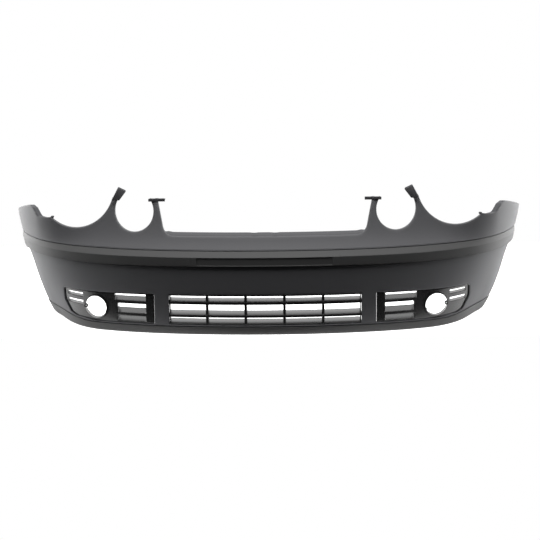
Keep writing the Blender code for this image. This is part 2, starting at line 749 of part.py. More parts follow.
def fog_grille(side):
    """A side grille: slats inboard of the fog lamp's collar and two short gaps outboard of it."""
    name = "left" if side > 0 else "right"
    inner, outer = CENTRE_OPENING_HALF + PILLAR - 0.01, SIDE_OPENING_END + 0.012
    start, end = sorted((side * at_x(inner), side * at_x(outer)))
    band = grille_band(f"fog_grille_{name}", start, end, 0.012, OPENING_TOP + 0.01, 14, GRILLE)
    outline = side_opening(-GRILLE_GAP)
    span = (from_nose(-0.1), from_nose(0.30))
    fit = [outline if side > 0 else mirrored(outline)]
    boolean(band, "INTERSECT", prisms(f"fog_fit_{name}", "Y", [span], fit))
    low, high = LIP_TOP_FRONT + WALL + GRILLE_GAP, OPENING_TOP - GRILLE_GAP
    collar = FOG_CENTRE[0] - FOG_RADIUS - FOG_COLLAR
    bm = bmesh.new()
    depth = (from_nose(0), from_nose(0.14))
    for foot, top in rows(low, high - 0.003):
        x = sorted((side * (CENTRE_OPENING_HALF + PILLAR + 0.028), side * (collar - 0.010)))
        add_cell(bm, x[0], x[1], foot, top - SLAT_RISE / 2, depth)
    beyond = FOG_CENTRE[0] + FOG_RADIUS + FOG_COLLAR
    for foot, top in rows(low, high - 0.008)[:2]:
        x = sorted((side * (beyond + 0.003), side * (SIDE_OPENING_END - 0.018)))
        add_cell(bm, x[0], x[1], max(foot, 0.068), top - 0.004, (from_nose(0.08), from_nose(0.30)))
    bmesh.ops.recalc_face_normals(bm, faces=bm.faces)
    boolean(band, "DIFFERENCE", add_object(f"fog_cells_{name}", bm))
    lamp = circle((side * FOG_CENTRE[0], FOG_CENTRE[1]), FOG_RADIUS, 32)
    boolean(band, "DIFFERENCE", prisms(f"fog_bore_{name}", "Y", [span], [lamp]))


# ---------------------------------------------------------------- fixings

def push_rivets():
    """Rivets pushed down through the cover's foot into the lip's foot."""
    base = LIP_WALL + LIP_GAP + WALL + TOUCH
    dome = [(0, RIVET_DOME), (0.004, RIVET_DOME - 0.0004), (RIVET_HEAD, 0.0010)]
    dome += [(RIVET_HEAD, 0), (RIVET_SHANK, 0)]
    foot = [(RIVET_SHANK, TOUCH * 3 - base), (0, TOUCH * 2 - base)]
    for number, point in enumerate(rivet_points(), 1):
        seat = point + Vector((0, 0, base))
        turned(f"push_rivet_{number}", dome + foot, seat, Vector((0, 0, 1)), PLASTIC)


def spring_nut(name, place, turn):
    """A folded steel nut that slides over a flange's edge; its mouth faces local +X."""
    half = WALL / 2 + NUT_GAP
    outer = half + NUT_PLATE
    back = -NUT_LENGTH / 2
    mouth = back + NUT_LENGTH
    fold = [(back, -outer), (mouth, -outer), (mouth, -half), (back + NUT_PLATE, -half)]
    fold += [(back + NUT_PLATE, half), (mouth, half), (mouth, outer), (back, outer)]
    nut = prisms(name, "Y", [(-NUT_WIDTH / 2, NUT_WIDTH / 2)], [fold], STEEL)
    bm = bmesh.new()
    add_rod(bm, Vector((0, 0, -0.01)), Vector((0, 0, 0.01)), NUT_HOLE)
    bore = add_object(f"{name}_bore", bm)
    bore.parent = nut
    boolean(nut, "DIFFERENCE", bore)
    nut.location = place
    nut.rotation_euler = turn


def fixings():
    push_rivets()
    for side, name in ((1, "left"), (-1, "right")):
        for number, (place, tilt) in enumerate(wing_nuts(side), 1):
            turn = Euler((tilt, 0, 0)).to_matrix() @ Euler((0, 0, 0 if side > 0 else math.pi)).to_matrix()
            spring_nut(f"wing_nut_{name}_{number}", place, turn.to_euler())


for old in list(bpy.data.objects):
    bpy.data.objects.remove(old)

PARTS = collection("bumper_cover_assembly")
CUTTERS = collection("cutters")
PAINT = material("satin_primer", (0.050, 0.052, 0.055), 0.42)
GRAINED = material("grained_plastic", (0.034, 0.035, 0.037), 0.55)
GRILLE = material("black_grille_plastic", (0.012, 0.012, 0.013), 0.35)
PLASTIC = material("black_nylon", (0.02, 0.02, 0.021), 0.5)
STEEL = material("phosphated_steel", (0.16, 0.16, 0.165), 0.4, 0.8)

bumper_cover()
lower_lip()
strips()
strip_clips()
centre_grille()
fog_grille(1)
fog_grille(-1)
fixings()
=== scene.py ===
"""Looks of a front bumper cover: moulded shell, lip, strips, grilles and fixings round the fixed frame.

Metres, +Z up.  The cover faces -Y and the car's left is +X.  Every moulding that follows the outer
skin is laid out on the same plan curve and section as the frame's solids, on a much finer grid, with
rolled edges round its openings.  Slats, ribs, collars and fixings come from Geometry Nodes.
"""

import logging
import math
from collections.abc import Callable, Sequence
from dataclasses import dataclass, field
from enum import Enum

import bmesh
import bpy
import numpy as np
from mathutils import Matrix, Vector
from mathutils.geometry import delaunay_2d_cdt


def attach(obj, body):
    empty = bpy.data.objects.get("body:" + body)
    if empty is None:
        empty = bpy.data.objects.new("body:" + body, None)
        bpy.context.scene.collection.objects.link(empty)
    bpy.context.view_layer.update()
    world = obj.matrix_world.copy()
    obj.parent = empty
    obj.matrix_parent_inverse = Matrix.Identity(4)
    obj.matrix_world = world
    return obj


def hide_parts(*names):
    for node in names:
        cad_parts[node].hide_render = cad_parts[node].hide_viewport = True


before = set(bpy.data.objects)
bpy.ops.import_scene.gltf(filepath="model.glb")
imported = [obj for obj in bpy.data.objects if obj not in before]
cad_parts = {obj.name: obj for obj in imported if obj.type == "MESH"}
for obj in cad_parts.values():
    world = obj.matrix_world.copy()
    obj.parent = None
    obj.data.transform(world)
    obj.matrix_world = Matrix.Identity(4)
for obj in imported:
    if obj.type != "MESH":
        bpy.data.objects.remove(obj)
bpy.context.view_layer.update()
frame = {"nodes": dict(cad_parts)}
LOG = logging.getLogger("bumper_cover")

Outline = list[tuple[float, float]]
MIDDLE_REACH = 4e-5  # how near the middle plane a point counts as lying on it
SHARP_ANGLE = math.radians(38)
FAR = 1.0


class Side(Enum):
    """The two halves of the car."""

    LEFT = 1
    RIGHT = -1

    @property
    def label(self) -> str:
        """The half's name in lower case."""
        return self.name.lower()


class Look(Enum):
    """The plane that an outline is drawn in: seen from the front, or from the side."""

    FRONT = 0
    SIDE = 1


def smooth(start: float, end: float, value: np.ndarray | float) -> np.ndarray:
    """A smooth step from 0 at start to 1 at end.

    Args:
        start: Where the step begins.
        end: Where it ends.
        value: The places to read it at.

    Returns:
        The share at each place.
    """
    share = np.clip((np.asarray(value, float) - start) / (end - start), 0.0, 1.0)
    return share * share * (3 - 2 * share)


# ---------------------------------------------------------------- the skin

@dataclass
class Skin:
    """The outer surface: a plan curve, and how far a section lies outward of it at each height."""

    width: float = 1.638
    depth: float = 0.560
    crown_turn: float = 30.7
    corner_turn: float = 51.7
    corner_at: float = 0.69
    corner_spread: float = 0.127
    rear_at: float = 1.09
    curve_end: float = 1.16
    lip_top_front: float = 0.0245
    lip_top_side: float = 0.0355
    strip_bottom: float = 0.2045
    strip_seam: float = 0.2500
    lower_recess: float = 0.006
    lower_lean: float = 0.020
    seam_recess: float = 0.020
    side_recess: float = 0.004
    cove_depth: float = 0.028
    cove_height: float = 0.030
    upper_lean: float = 0.36
    side_tuck: float = 0.0665
    tuck_top: float = 0.243
    wing_flare: float = 0.031
    front_end: float = 0.5035
    side_start: float = 0.822
    along: np.ndarray = field(init=False)
    plan_x: np.ndarray = field(init=False)
    plan_y: np.ndarray = field(init=False)
    slope: np.ndarray = field(init=False)

    def __post_init__(self) -> None:
        """Works out the plan curve and fits it to the overall width and depth."""
        along = np.linspace(0, self.curve_end, 581)
        middle = (along[1:] + along[:-1]) / 2
        at_nose = 1 / (1 + math.exp(self.corner_at / self.corner_spread))
        corner = 1 / (1 + np.exp(-(middle - self.corner_at) / self.corner_spread))
        turn = np.radians(self.crown_turn * middle + self.corner_turn * (corner - at_nose))
        x = np.concatenate([[0], np.cumsum(np.cos(turn) * np.diff(along))])
        y = np.concatenate([[0], np.cumsum(np.sin(turn) * np.diff(along))])
        half = self.width / 2 - self.wing_flare + self.side_recess
        self.along = along
        self.plan_x = x * half / np.interp(self.rear_at, along, x)
        self.plan_y = y * self.depth / np.interp(self.rear_at, along, y) - self.depth / 2
        self.slope = np.arctan2(np.gradient(self.plan_y), np.gradient(self.plan_x))

    def from_nose(self, distance: float) -> float:
        """The y of a point this far behind the nose."""
        return distance - self.depth / 2

    def at_x(self, x: float) -> float:
        """Where along the curve, signed, it has this x."""
        return math.copysign(float(np.interp(abs(x), self.plan_x, self.along)), x)

    def at_y(self, y: float) -> float:
        """Where along the left half of the curve it has this y."""
        return float(np.interp(y, self.plan_y, self.along))

    def outward(self, along: np.ndarray) -> np.ndarray:
        """Unit vectors square to the curve.

        Args:
            along: Signed places along the curve.

        Returns:
            One vector for each place, pointing away from the car.
        """
        along = np.asarray(along, float)
        slope = np.interp(np.abs(along), self.along, self.slope)
        return np.stack([np.copysign(np.sin(slope), along), -np.cos(slope), 0 * slope], -1)

    def point(self, along: np.ndarray, out: np.ndarray, z: np.ndarray) -> np.ndarray:
        """Points this far outward of the plan curve at these heights.

        Args:
            along: Signed places along the curve.
            out: Distances outward of it.
            z: Heights.

        Returns:
            One point for each place.
        """
        along, out, z = np.broadcast_arrays(np.asarray(along, float), out, z)
        x = np.copysign(np.interp(np.abs(along), self.along, self.plan_x), along)
        y = np.interp(np.abs(along), self.along, self.plan_y)
        lean = (out + self.flare(along, z))[..., None]
        return np.stack([x, y, z], -1) + self.outward(along) * lean

    def vector(self, along: float, out: float, z: float) -> Vector:
        """One point of the surface as a vector."""
        return Vector(self.point(along, out, z))

    def side_share(self, along: np.ndarray) -> np.ndarray:
        """0 over the front and 1 along the side."""
        return smooth(self.front_end, self.side_start, np.abs(along))

    def flare(self, along: np.ndarray, z: np.ndarray) -> np.ndarray:
        """How far the wing turns out over the wheel arch."""
        return self.wing_flare * smooth(0.75, self.rear_at, np.abs(along)) * smooth(0.14, 0.34, z)

    def seam_out(self, along: np.ndarray) -> np.ndarray:
        """Where the strip's top edge meets the skin."""
        share = self.side_share(along)
        return -(self.seam_recess * (1 - share) + self.side_recess * share)

    def lower_out(self, along: np.ndarray, z: np.ndarray) -> np.ndarray:
        """The skin below the strip."""
        share = self.side_share(along)
        front = self.lower_recess + self.lower_lean * (self.strip_bottom - z)
        tuck = (np.maximum(self.tuck_top - z, 0) / self.tuck_top) ** 1.5
        return -(front * (1 - share) + (self.side_recess + self.side_tuck * tuck) * share)

    def upper_out(self, along: np.ndarray, z: np.ndarray) -> np.ndarray:
        """The skin above the strip: a cove, then a lean back to the headlamps."""
        share = self.side_share(along)
        up = np.maximum(z - self.strip_seam, 0)
        cove = self.cove_depth * (1 - np.exp(-up / self.cove_height))
        front = self.seam_recess + cove + self.upper_lean * up
        return -(front * (1 - share) + self.side_recess * share)

    def lip_top(self, along: np.ndarray) -> np.ndarray:
        """Height of the lip's top edge."""
        rise = self.lip_top_side - self.lip_top_front
        return self.lip_top_front + rise * smooth(0.55, 0.75, np.abs(along))


# ---------------------------------------------------------------- outlines

def filleted(points: Outline, radii: Sequence[float], segments: int = 10) -> Outline:
    """A closed outline whose corners are arcs.

    Args:
        points: The outline's corners, in order.
        radii: The radius at each corner, 0 to keep it sharp.
        segments: Straight pieces in each arc.

    Returns:
        The rounded outline.
    """
    outline = []
    for i, radius in enumerate(radii):
        corner = Vector(points[i])
        back = (Vector(points[i - 1]) - corner).normalized()
        ahead = (Vector(points[(i + 1) % len(points)]) - corner).normalized()
        half = back.angle(ahead) / 2
        if radius <= 0 or half > math.radians(89):
            outline.append(tuple(corner))
            continue
        centre = corner + (back + ahead).normalized() * radius / math.sin(half)
        start = corner + back * radius / math.tan(half) - centre
        end = corner + ahead * radius / math.tan(half) - centre
        for j in range(segments + 1):
            outline.append(tuple(centre + start.slerp(end, j / segments).normalized() * radius))
    return outline


def grown(points: Outline, distance: float) -> Outline:
    """A closed counter-clockwise outline moved outwards.

    Args:
        points: The outline.
        distance: How far each side moves.

    Returns:
        The moved outline.
    """
    moved = []
    for i, point in enumerate(points):
        corner = Vector(point)
        before = (corner - Vector(points[i - 1])).normalized()
        after = (Vector(points[(i + 1) % len(points)]) - corner).normalized()
        normal = Vector((before.y, -before.x)) + Vector((after.y, -after.x))
        moved.append(tuple(corner + normal * distance / max(0.5 * normal.length_squared, 0.3)))
    return moved


def divided(points: Outline, spacing: float) -> np.ndarray:
    """A closed outline with no side longer than a spacing.

    Args:
        points: The outline.
        spacing: The longest side.

    Returns:
        Its points as an array.
    """
    found = []
    for i, point in enumerate(points):
        start, end = np.array(point), np.array(points[(i + 1) % len(points)])
        length = np.linalg.norm(end - start)
        if length < 1e-6:
            continue
        count = max(1, math.ceil(length / spacing))
        found += [start + (end - start) * j / count for j in range(count)]
    return np.array(found)


def circle(centre: tuple[float, float], radius: float, segments: int) -> Outline:
    """A round outline."""
    turns = [2 * math.pi * i / segments for i in range(segments)]
    return [(centre[0] + radius * math.cos(t), centre[1] + radius * math.sin(t)) for t in turns]


def inside(points: np.ndarray, outline: np.ndarray) -> np.ndarray:
    """Which points lie inside a closed outline.

    Args:
        points: Places to test, in pairs.
        outline: The outline's points.

    Returns:
        True for each point that lies inside.
    """
    found = np.zeros(len(points), bool)
    for (ax, ay), (bx, by) in zip(outline, np.roll(outline, -1, axis=0)):
        if ay == by:
            continue
        crosses = (ay > points[:, 1]) != (by > points[:, 1])
        found ^= crosses & (points[:, 0] < (bx - ax) * (points[:, 1] - ay) / (by - ay) + ax)
    return found


def distance_to(points: np.ndarray, outline: np.ndarray) -> np.ndarray:
    """Distance of each point from a closed outline's sides.

    Args:
        points: Places to measure from, in pairs.
        outline: The outline's points.

    Returns:
        One distance for each point.
    """
    nearest = np.full(len(points), np.inf)
    for start, end in zip(outline, np.roll(outline, -1, axis=0)):
        along = end - start
        share = np.clip(((points - start) @ along) / (along @ along), 0, 1)
        gap = points - start - share[:, None] * along
        nearest = np.minimum(nearest, (gap * gap).sum(1))
    return np.sqrt(nearest)


@dataclass
class Cut:
    """An opening or an edge cut out of a moulding, with the flange that turns in round it.

    Attributes:
        outline: What is removed, counter-clockwise, in the plane of look.
        look: The plane that the outline is drawn in.
        roll: Radius of the rolled edge.
        flange: How deep the edge turns in.
        rise: How far the flange climbs over its depth.
        shelf: Whether its floor is the deep shelf behind the upper grille.
    """

    outline: Outline
    look: Look = Look.FRONT
    roll: float = 0.0032
    flange: float = 0.016
    rise: float = 0.0
    shelf: bool = False

    def seen(self, points: np.ndarray) -> np.ndarray:
        """The points as this cut's plane shows them."""
        return points[:, [0, 2]] if self.look is Look.FRONT else points[:, [1, 2]]

    @property
    def direction(self) -> np.ndarray:
        """Which way the flange turns in, on the left half."""
        return np.array([0.0, 1.0, self.rise / max(self.flange, 1e-6)]
                        if self.look is Look.FRONT else [-1.0, 0.0, 0.0])


# ---------------------------------------------------------------- sections

def rolled(corners: Sequence[tuple[np.ndarray, np.ndarray, float]], steps: int = 4) -> list[np.ndarray]:
    """A section whose marked corners are rolled.

    Args:
        corners: Distance out, height and radius of each corner; the first two may be arrays.
        steps: Pieces in each rolled corner.

    Returns:
        The stations of the rolled section.
    """
    points = [np.stack(np.broadcast_arrays(out, z), -1).astype(float) for out, z, _ in corners]
    shape = np.broadcast_shapes(*(p.shape for p in points))
    points = [np.broadcast_to(p, shape) for p in points]
    made = []
    for i, (_, _, radius) in enumerate(corners):
        if radius <= 0:
            made.append(points[i])
            continue
        before, after = points[i - 1] - points[i], points[i + 1] - points[i]
        start = points[i] + before * radius / np.linalg.norm(before, axis=-1, keepdims=True)
        end = points[i] + after * radius / np.linalg.norm(after, axis=-1, keepdims=True)
        for j in range(steps + 1):
            t = j / steps
            made.append(start * (1 - t) ** 2 + points[i] * 2 * t * (1 - t) + end * t * t)
    return made


@dataclass
class Section:
    """A section tabulated along the left half of the curve, so that it can be read anywhere.

    Attributes:
        skin: The surface that it follows.
        build: Gives the section's stations at some places along the curve.
        closest: The least spacing of two stations on the flat layout.
    """

    skin: Skin
    build: Callable[[np.ndarray], list[np.ndarray]]
    closest: float = 0.0032
    columns: int = 420
    table: np.ndarray = field(init=False)
    marks: np.ndarray = field(init=False)

    def __post_init__(self) -> None:
        """Tabulates the section and spaces its stations on the flat layout."""
        places = np.linspace(0, self.skin.curve_end, self.columns)
        self.table = np.stack(self.build(places))
        steps = np.linalg.norm(np.diff(self.table[:, 0], axis=0), axis=-1)
        self.marks = np.concatenate([[0], np.cumsum(np.maximum(steps, self.closest))])

    def read(self, along: np.ndarray, mark: np.ndarray) -> tuple[np.ndarray, np.ndarray]:
        """Distance out and height at places on the flat layout.

        Args:
            along: Places along the curve.
            mark: Places up the section.

        Returns:
            The distances out and the heights.
        """
        column = np.clip(np.abs(along) / self.skin.curve_end, 0, 1) * (self.columns - 1)
        row = np.interp(mark, self.marks, np.arange(len(self.marks)))
        c = np.minimum(column.astype(int), self.columns - 2)
        r = np.minimum(row.astype(int), len(self.marks) - 2)
        u, v = (column - c)[:, None], (row - r)[:, None]
        low = self.table[r, c] * (1 - u) + self.table[r, c + 1] * u
        high = self.table[r + 1, c] * (1 - u) + self.table[r + 1, c + 1] * u
        found = low * (1 - v) + high * v
        return found[:, 0], found[:, 1]

    def place(self, along: np.ndarray, mark: np.ndarray) -> np.ndarray:
        """The points of the surface at places on the flat layout."""
        out, z = self.read(along, mark)
        return self.skin.point(along, out, z)

    def mark_at(self, along: np.ndarray, z: np.ndarray) -> np.ndarray:
        """Where up the layout the section has these heights.

        Args:
            along: Places along the curve.
            z: The heights, which may lie above or below the section.

        Returns:
            One mark for each height.
        """
        column = np.rint(np.clip(np.abs(along) / self.skin.curve_end, 0, 1) * (self.columns - 1)).astype(int)
        tiny = 1e-7 * np.arange(len(self.marks))
        found = np.empty(len(z))
        for i, (c, height) in enumerate(zip(column, z)):
            heights = np.maximum.accumulate(self.table[:, c, 1]) + tiny
            found[i] = np.interp(height, heights, self.marks)
            found[i] += max(height - heights[-1], 0) + min(height - heights[0], 0)
        return found

    def locate(self, points: np.ndarray, look: Look) -> np.ndarray:
        """Flat places whose surface points are seen at these places.

        Args:
            points: Places in the plane of look.
            look: The plane.

        Returns:
            Pairs of place along the curve and mark.
        """
        plan = self.skin.plan_x if look is Look.FRONT else self.skin.plan_y
        along = np.interp(points[:, 0], plan, self.skin.along)
        along += np.maximum(points[:, 0] - plan[-1], 0)
        for _ in range(14):
            mark = self.mark_at(along, points[:, 1])
            seen = self.place(along, mark)[:, look.value]
            slope = np.interp(np.abs(along), self.skin.along, self.skin.slope)
            rate = np.cos(slope) if look is Look.FRONT else np.sin(slope)
            step = (points[:, 0] - seen) / np.maximum(rate, 0.25)
            along = np.where(points[:, 0] > plan[-1], along, along + step)
        return np.stack([along, self.mark_at(along, points[:, 1])], -1)


# ---------------------------------------------------------------- mouldings

@dataclass
class Moulding:
    """A thin moulding laid out flat, cut to shape, bent on to the skin and given its wall.

    Attributes:
        name: The piece's name.
        section: The section that it follows.
        start: Where along the curve it starts; 0 means that it is mirrored about the middle.
        end: Where along the curve it ends.
        wall: Its wall thickness.
        spacing: The spacing of its grid along the curve.
        cuts: What is cut out of it.
        keep: An outline that limits it, as a cut's outline is drawn, or None.
    """

    name: str
    section: Section
    start: float
    end: float
    wall: float
    spacing: float = 0.0085
    cuts: list[Cut] = field(default_factory=list)
    keep: Cut | None = None

    def all_cuts(self) -> list[Cut]:
        """The cuts and the limiting outline."""
        return self.cuts + ([self.keep] if self.keep else [])

    def signed_distances(self, points: np.ndarray) -> np.ndarray:
        """Distance of each point from each outline, negative where the moulding has no material."""
        found = []
        for cut in self.all_cuts():
            seen = cut.seen(points)
            outline = np.array(cut.outline)
            away = distance_to(seen, outline)
            removed = inside(seen, outline) ^ (cut is self.keep)
            found.append(np.where(removed, -away, away))
        return np.stack(found) if found else np.full((1, len(points)), np.inf)

    def layout(self) -> tuple[np.ndarray, np.ndarray]:
        """Triangles of the cut moulding, laid out flat.

        Returns:
            The flat points, and the triangles' corners.
        """
        count = max(2, round((self.end - self.start) / self.spacing))
        columns = np.linspace(self.start, self.end, count + 1)
        marks = self.section.marks
        grid = np.stack(np.meshgrid(columns, marks, indexing="ij"), -1).reshape(-1, 2)
        away = self.signed_distances(self.section.place(grid[:, 0], grid[:, 1])).min(0)
        edge = np.isin(grid[:, 0], columns[[0, -1]]) | np.isin(grid[:, 1], marks[[0, -1]])
        deepest = max([cut.roll for cut in self.all_cuts()], default=0)
        points = [grid[(away > deepest + 0.0012) | (edge & (away > 0.0004))]]
        edges = []
        total = len(points[0])
        for cut in self.all_cuts():
            outward_sign = -1 if cut is self.keep else 1
            for share in (0, 0.12, 0.42, 1.0):
                ring = divided(grown(cut.outline, outward_sign * share * cut.roll), 0.0042)
                placed = self.section.locate(ring, cut.look)
                points.append(placed)
                edges += [(total + i, total + (i + 1) % len(placed)) for i in range(len(placed))]
                total += len(placed)
        points.append(np.array([(x, y) for x, y in ((self.start, 0), (self.end, 0), (self.end, marks[-1]),
                                                    (self.start, marks[-1]))]))
        edges += [(total + i, total + (i + 1) % 4) for i in range(4)]
        flat = [Vector(p) for p in np.concatenate(points)]
        verts, _, faces, *_ = delaunay_2d_cdt(flat, edges, [], 0, 2e-5)
        found = np.array([tuple(v) for v in verts])
        corners = np.array([f for f in faces if len(f) == 3])
        middle = found[corners].mean(1)
        placed = self.section.place(middle[:, 0], middle[:, 1])
        kept = self.signed_distances(placed).min(0) > 0
        kept &= (middle[:, 0] > self.start) & (middle[:, 0] < self.end)
        kept &= (middle[:, 1] > 0) & (middle[:, 1] < self.section.marks[-1])
        a, b, c = (found[corners[:, i]] for i in range(3))
        size = np.abs((b - a)[:, 0] * (c - a)[:, 1] - (b - a)[:, 1] * (c - a)[:, 0])
        return found, corners[kept & (size > 1e-9)]

    def turn_in(self, points: np.ndarray) -> tuple[np.ndarray, np.ndarray, np.ndarray]:
        """Which way, how tightly and how deep the edge turns in at each point.

        Args:
            points: Points of the surface.

        Returns:
            Directions, roll drops and flange depths.
        """
        cuts = self.all_cuts()
        away = np.maximum(self.signed_distances(points), 0)
        weight = np.exp(-(away - away.min(0)) / 0.0012)
        weight /= weight.sum(0)
        direction = sum(w[:, None] * cut.direction for w, cut in zip(weight, cuts))
        roll = sum(w * cut.roll for w, cut in zip(weight, cuts))
        flange = sum(w * cut.flange for w, cut in zip(weight, cuts))
        reach = np.clip(roll - away.min(0), 0, roll)
        drop = roll - np.sqrt(np.maximum(roll ** 2 - reach ** 2, 0))
        return direction, drop, flange

    def shelf_share(self, points: np.ndarray) -> np.ndarray:
        """How much of each edge point belongs to the floor of a shelf cut."""
        share = np.zeros(len(points))
        for cut in self.cuts:
            if cut.shelf:
                near = distance_to(cut.seen(points), np.array(cut.outline)) < 0.002
                floor = min(z for _, z in cut.outline)
                low = 1 - smooth(floor + 0.0002, floor + 0.014, points[:, 2])
                share = np.maximum(share, near * low)
        return share

    def half_mesh(self) -> tuple[np.ndarray, np.ndarray]:
        """The outer face with its rolled edges and flanges.

        Returns:
            The points, and the triangles' corners.
        """
        flat, faces = self.layout()
        used = np.unique(faces)
        index = np.full(len(flat), -1)
        index[used] = np.arange(len(used))
        flat, faces = flat[used], index[faces]
        points = self.section.place(flat[:, 0], flat[:, 1])
        if not self.all_cuts():
            return points, faces
        direction, drop, flange = self.turn_in(points)
        share = self.shelf_share(points)
        ends = np.concatenate([faces[:, [0, 1]], faces[:, [1, 2]], faces[:, [2, 0]]])
        _, where, count = np.unique(np.sort(ends, axis=1), axis=0, return_inverse=True, return_counts=True)
        border = ends[count[where.reshape(-1)] == 1]
        near = self.signed_distances(points).min(0) < 0.0006
        border = border[near[border].all(1)]
        if self.start == 0:
            border = border[(np.abs(points[border][:, :, 0]) > MIDDLE_REACH).any(1)]
        rim = np.unique(border)
        lookup = np.full(len(points), -1)
        moved = points + direction * drop[:, None]
        rows, quads, total, before = [moved], [], len(points), np.arange(len(points))
        for step in (0.10, 0.22, 0.26, 0.31, 0.36, 0.65, 1.0):
            lookup = lookup.copy()
            lookup[rim] = total + np.arange(len(rim))
            shelf = share[rim]
            deep = flange[rim] * (1 - shelf) + self.shelf_depth(points[rim]) * shelf
            reach = drop[rim] + np.maximum(deep - drop[rim], 0.001) * step
            row = points[rim] + direction[rim] * reach[:, None]
            groove = 0.0016 * math.exp(-((step - 0.26) / 0.045) ** 2)
            row[:, 2] += shelf * (0.010 * step - groove)
            rows.append(row)
            for a, b in border:
                quads += [(before[b], before[a], lookup[a]), (before[b], lookup[a], lookup[b])]
            before = lookup
            total += len(rim)
        return np.concatenate(rows), np.concatenate([faces, np.array(quads)])

    @staticmethod
    def shelf_depth(points: np.ndarray) -> np.ndarray:
        """Depth of the shelf behind the upper grille, with two dips beside the bonnet catch."""
        dips = np.exp(-((np.abs(points[:, 0]) - 0.031) / 0.010) ** 2)
        return 0.030 - 0.0075 * dips

    def piece(self, finish: "Finish") -> bpy.types.Object:
        """The whole closed moulding.

        Args:
            finish: What it is made of.

        Returns:
            The finished piece.
        """
        points, faces = self.half_mesh()
        if self.start == 0:
            middle = np.abs(points[:, 0]) < MIDDLE_REACH
            points[middle, 0] = 0
            other = np.arange(len(points))
            other[~middle] = len(points) + np.arange((~middle).sum())
            mirrored = points[~middle] * (-1, 1, 1)
            faces = np.concatenate([faces, other[faces][:, ::-1]])
            points = np.concatenate([points, mirrored])
        made = mesh_object(self.name, points, faces)
        thicken(made, self.wall)
        return dressed(made, finish)


def mesh_object(name: str, points: np.ndarray, faces: np.ndarray) -> bpy.types.Object:
    """A mesh object from arrays, with doubled points merged and degenerate edges dissolved.

    Args:
        name: The object's name.
        points: Its points.
        faces: Its faces' corners.

    Returns:
        The linked object.
    """
    mesh = bpy.data.meshes.new(name)
    mesh.from_pydata(points.tolist(), [], faces.tolist())
    bm = bmesh.new()
    bm.from_mesh(mesh)
    bmesh.ops.remove_doubles(bm, verts=bm.verts, dist=1e-6)
    bmesh.ops.dissolve_degenerate(bm, dist=1e-6, edges=bm.edges)
    bm.to_mesh(mesh)
    bm.free()
    made = bpy.data.objects.new(name, mesh)
    bpy.context.scene.collection.objects.link(made)
    return made


def applied(made: bpy.types.Object) -> bpy.types.Object:
    """Turns an object's evaluated form into its plain mesh.

    Args:
        made: An object with modifiers.

    Returns:
        The same object, without modifiers.
    """
    graph = bpy.context.evaluated_depsgraph_get()
    mesh = bpy.data.meshes.new_from_object(made.evaluated_get(graph))
    made.modifiers.clear()
    old, made.data = made.data, mesh
    bpy.data.meshes.remove(old)
    mesh.name = made.name
    return made


def thicken(made: bpy.types.Object, wall: float) -> None:
    """Gives an open face its wall, on the inner side, and applies it."""
    modifier = made.modifiers.new("wall", "SOLIDIFY")
    modifier.thickness = wall
    modifier.offset = -1
    modifier.use_even_offset = False
    applied(made)


def dressed(made: bpy.types.Object, finish: "Finish") -> bpy.types.Object:
    """Shades a piece smooth, gives it its material and fixes it to the frame.

    Args:
        made: The piece.
        finish: What it is made of.

    Returns:
        The piece.
    """
    made.data.materials.clear()
    made.data.materials.append(finish.material)
    made.data.shade_smooth()
    made.data.set_sharp_from_angle(angle=SHARP_ANGLE)
    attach(made, "root")
    return made


# ---------------------------------------------------------------- finishes

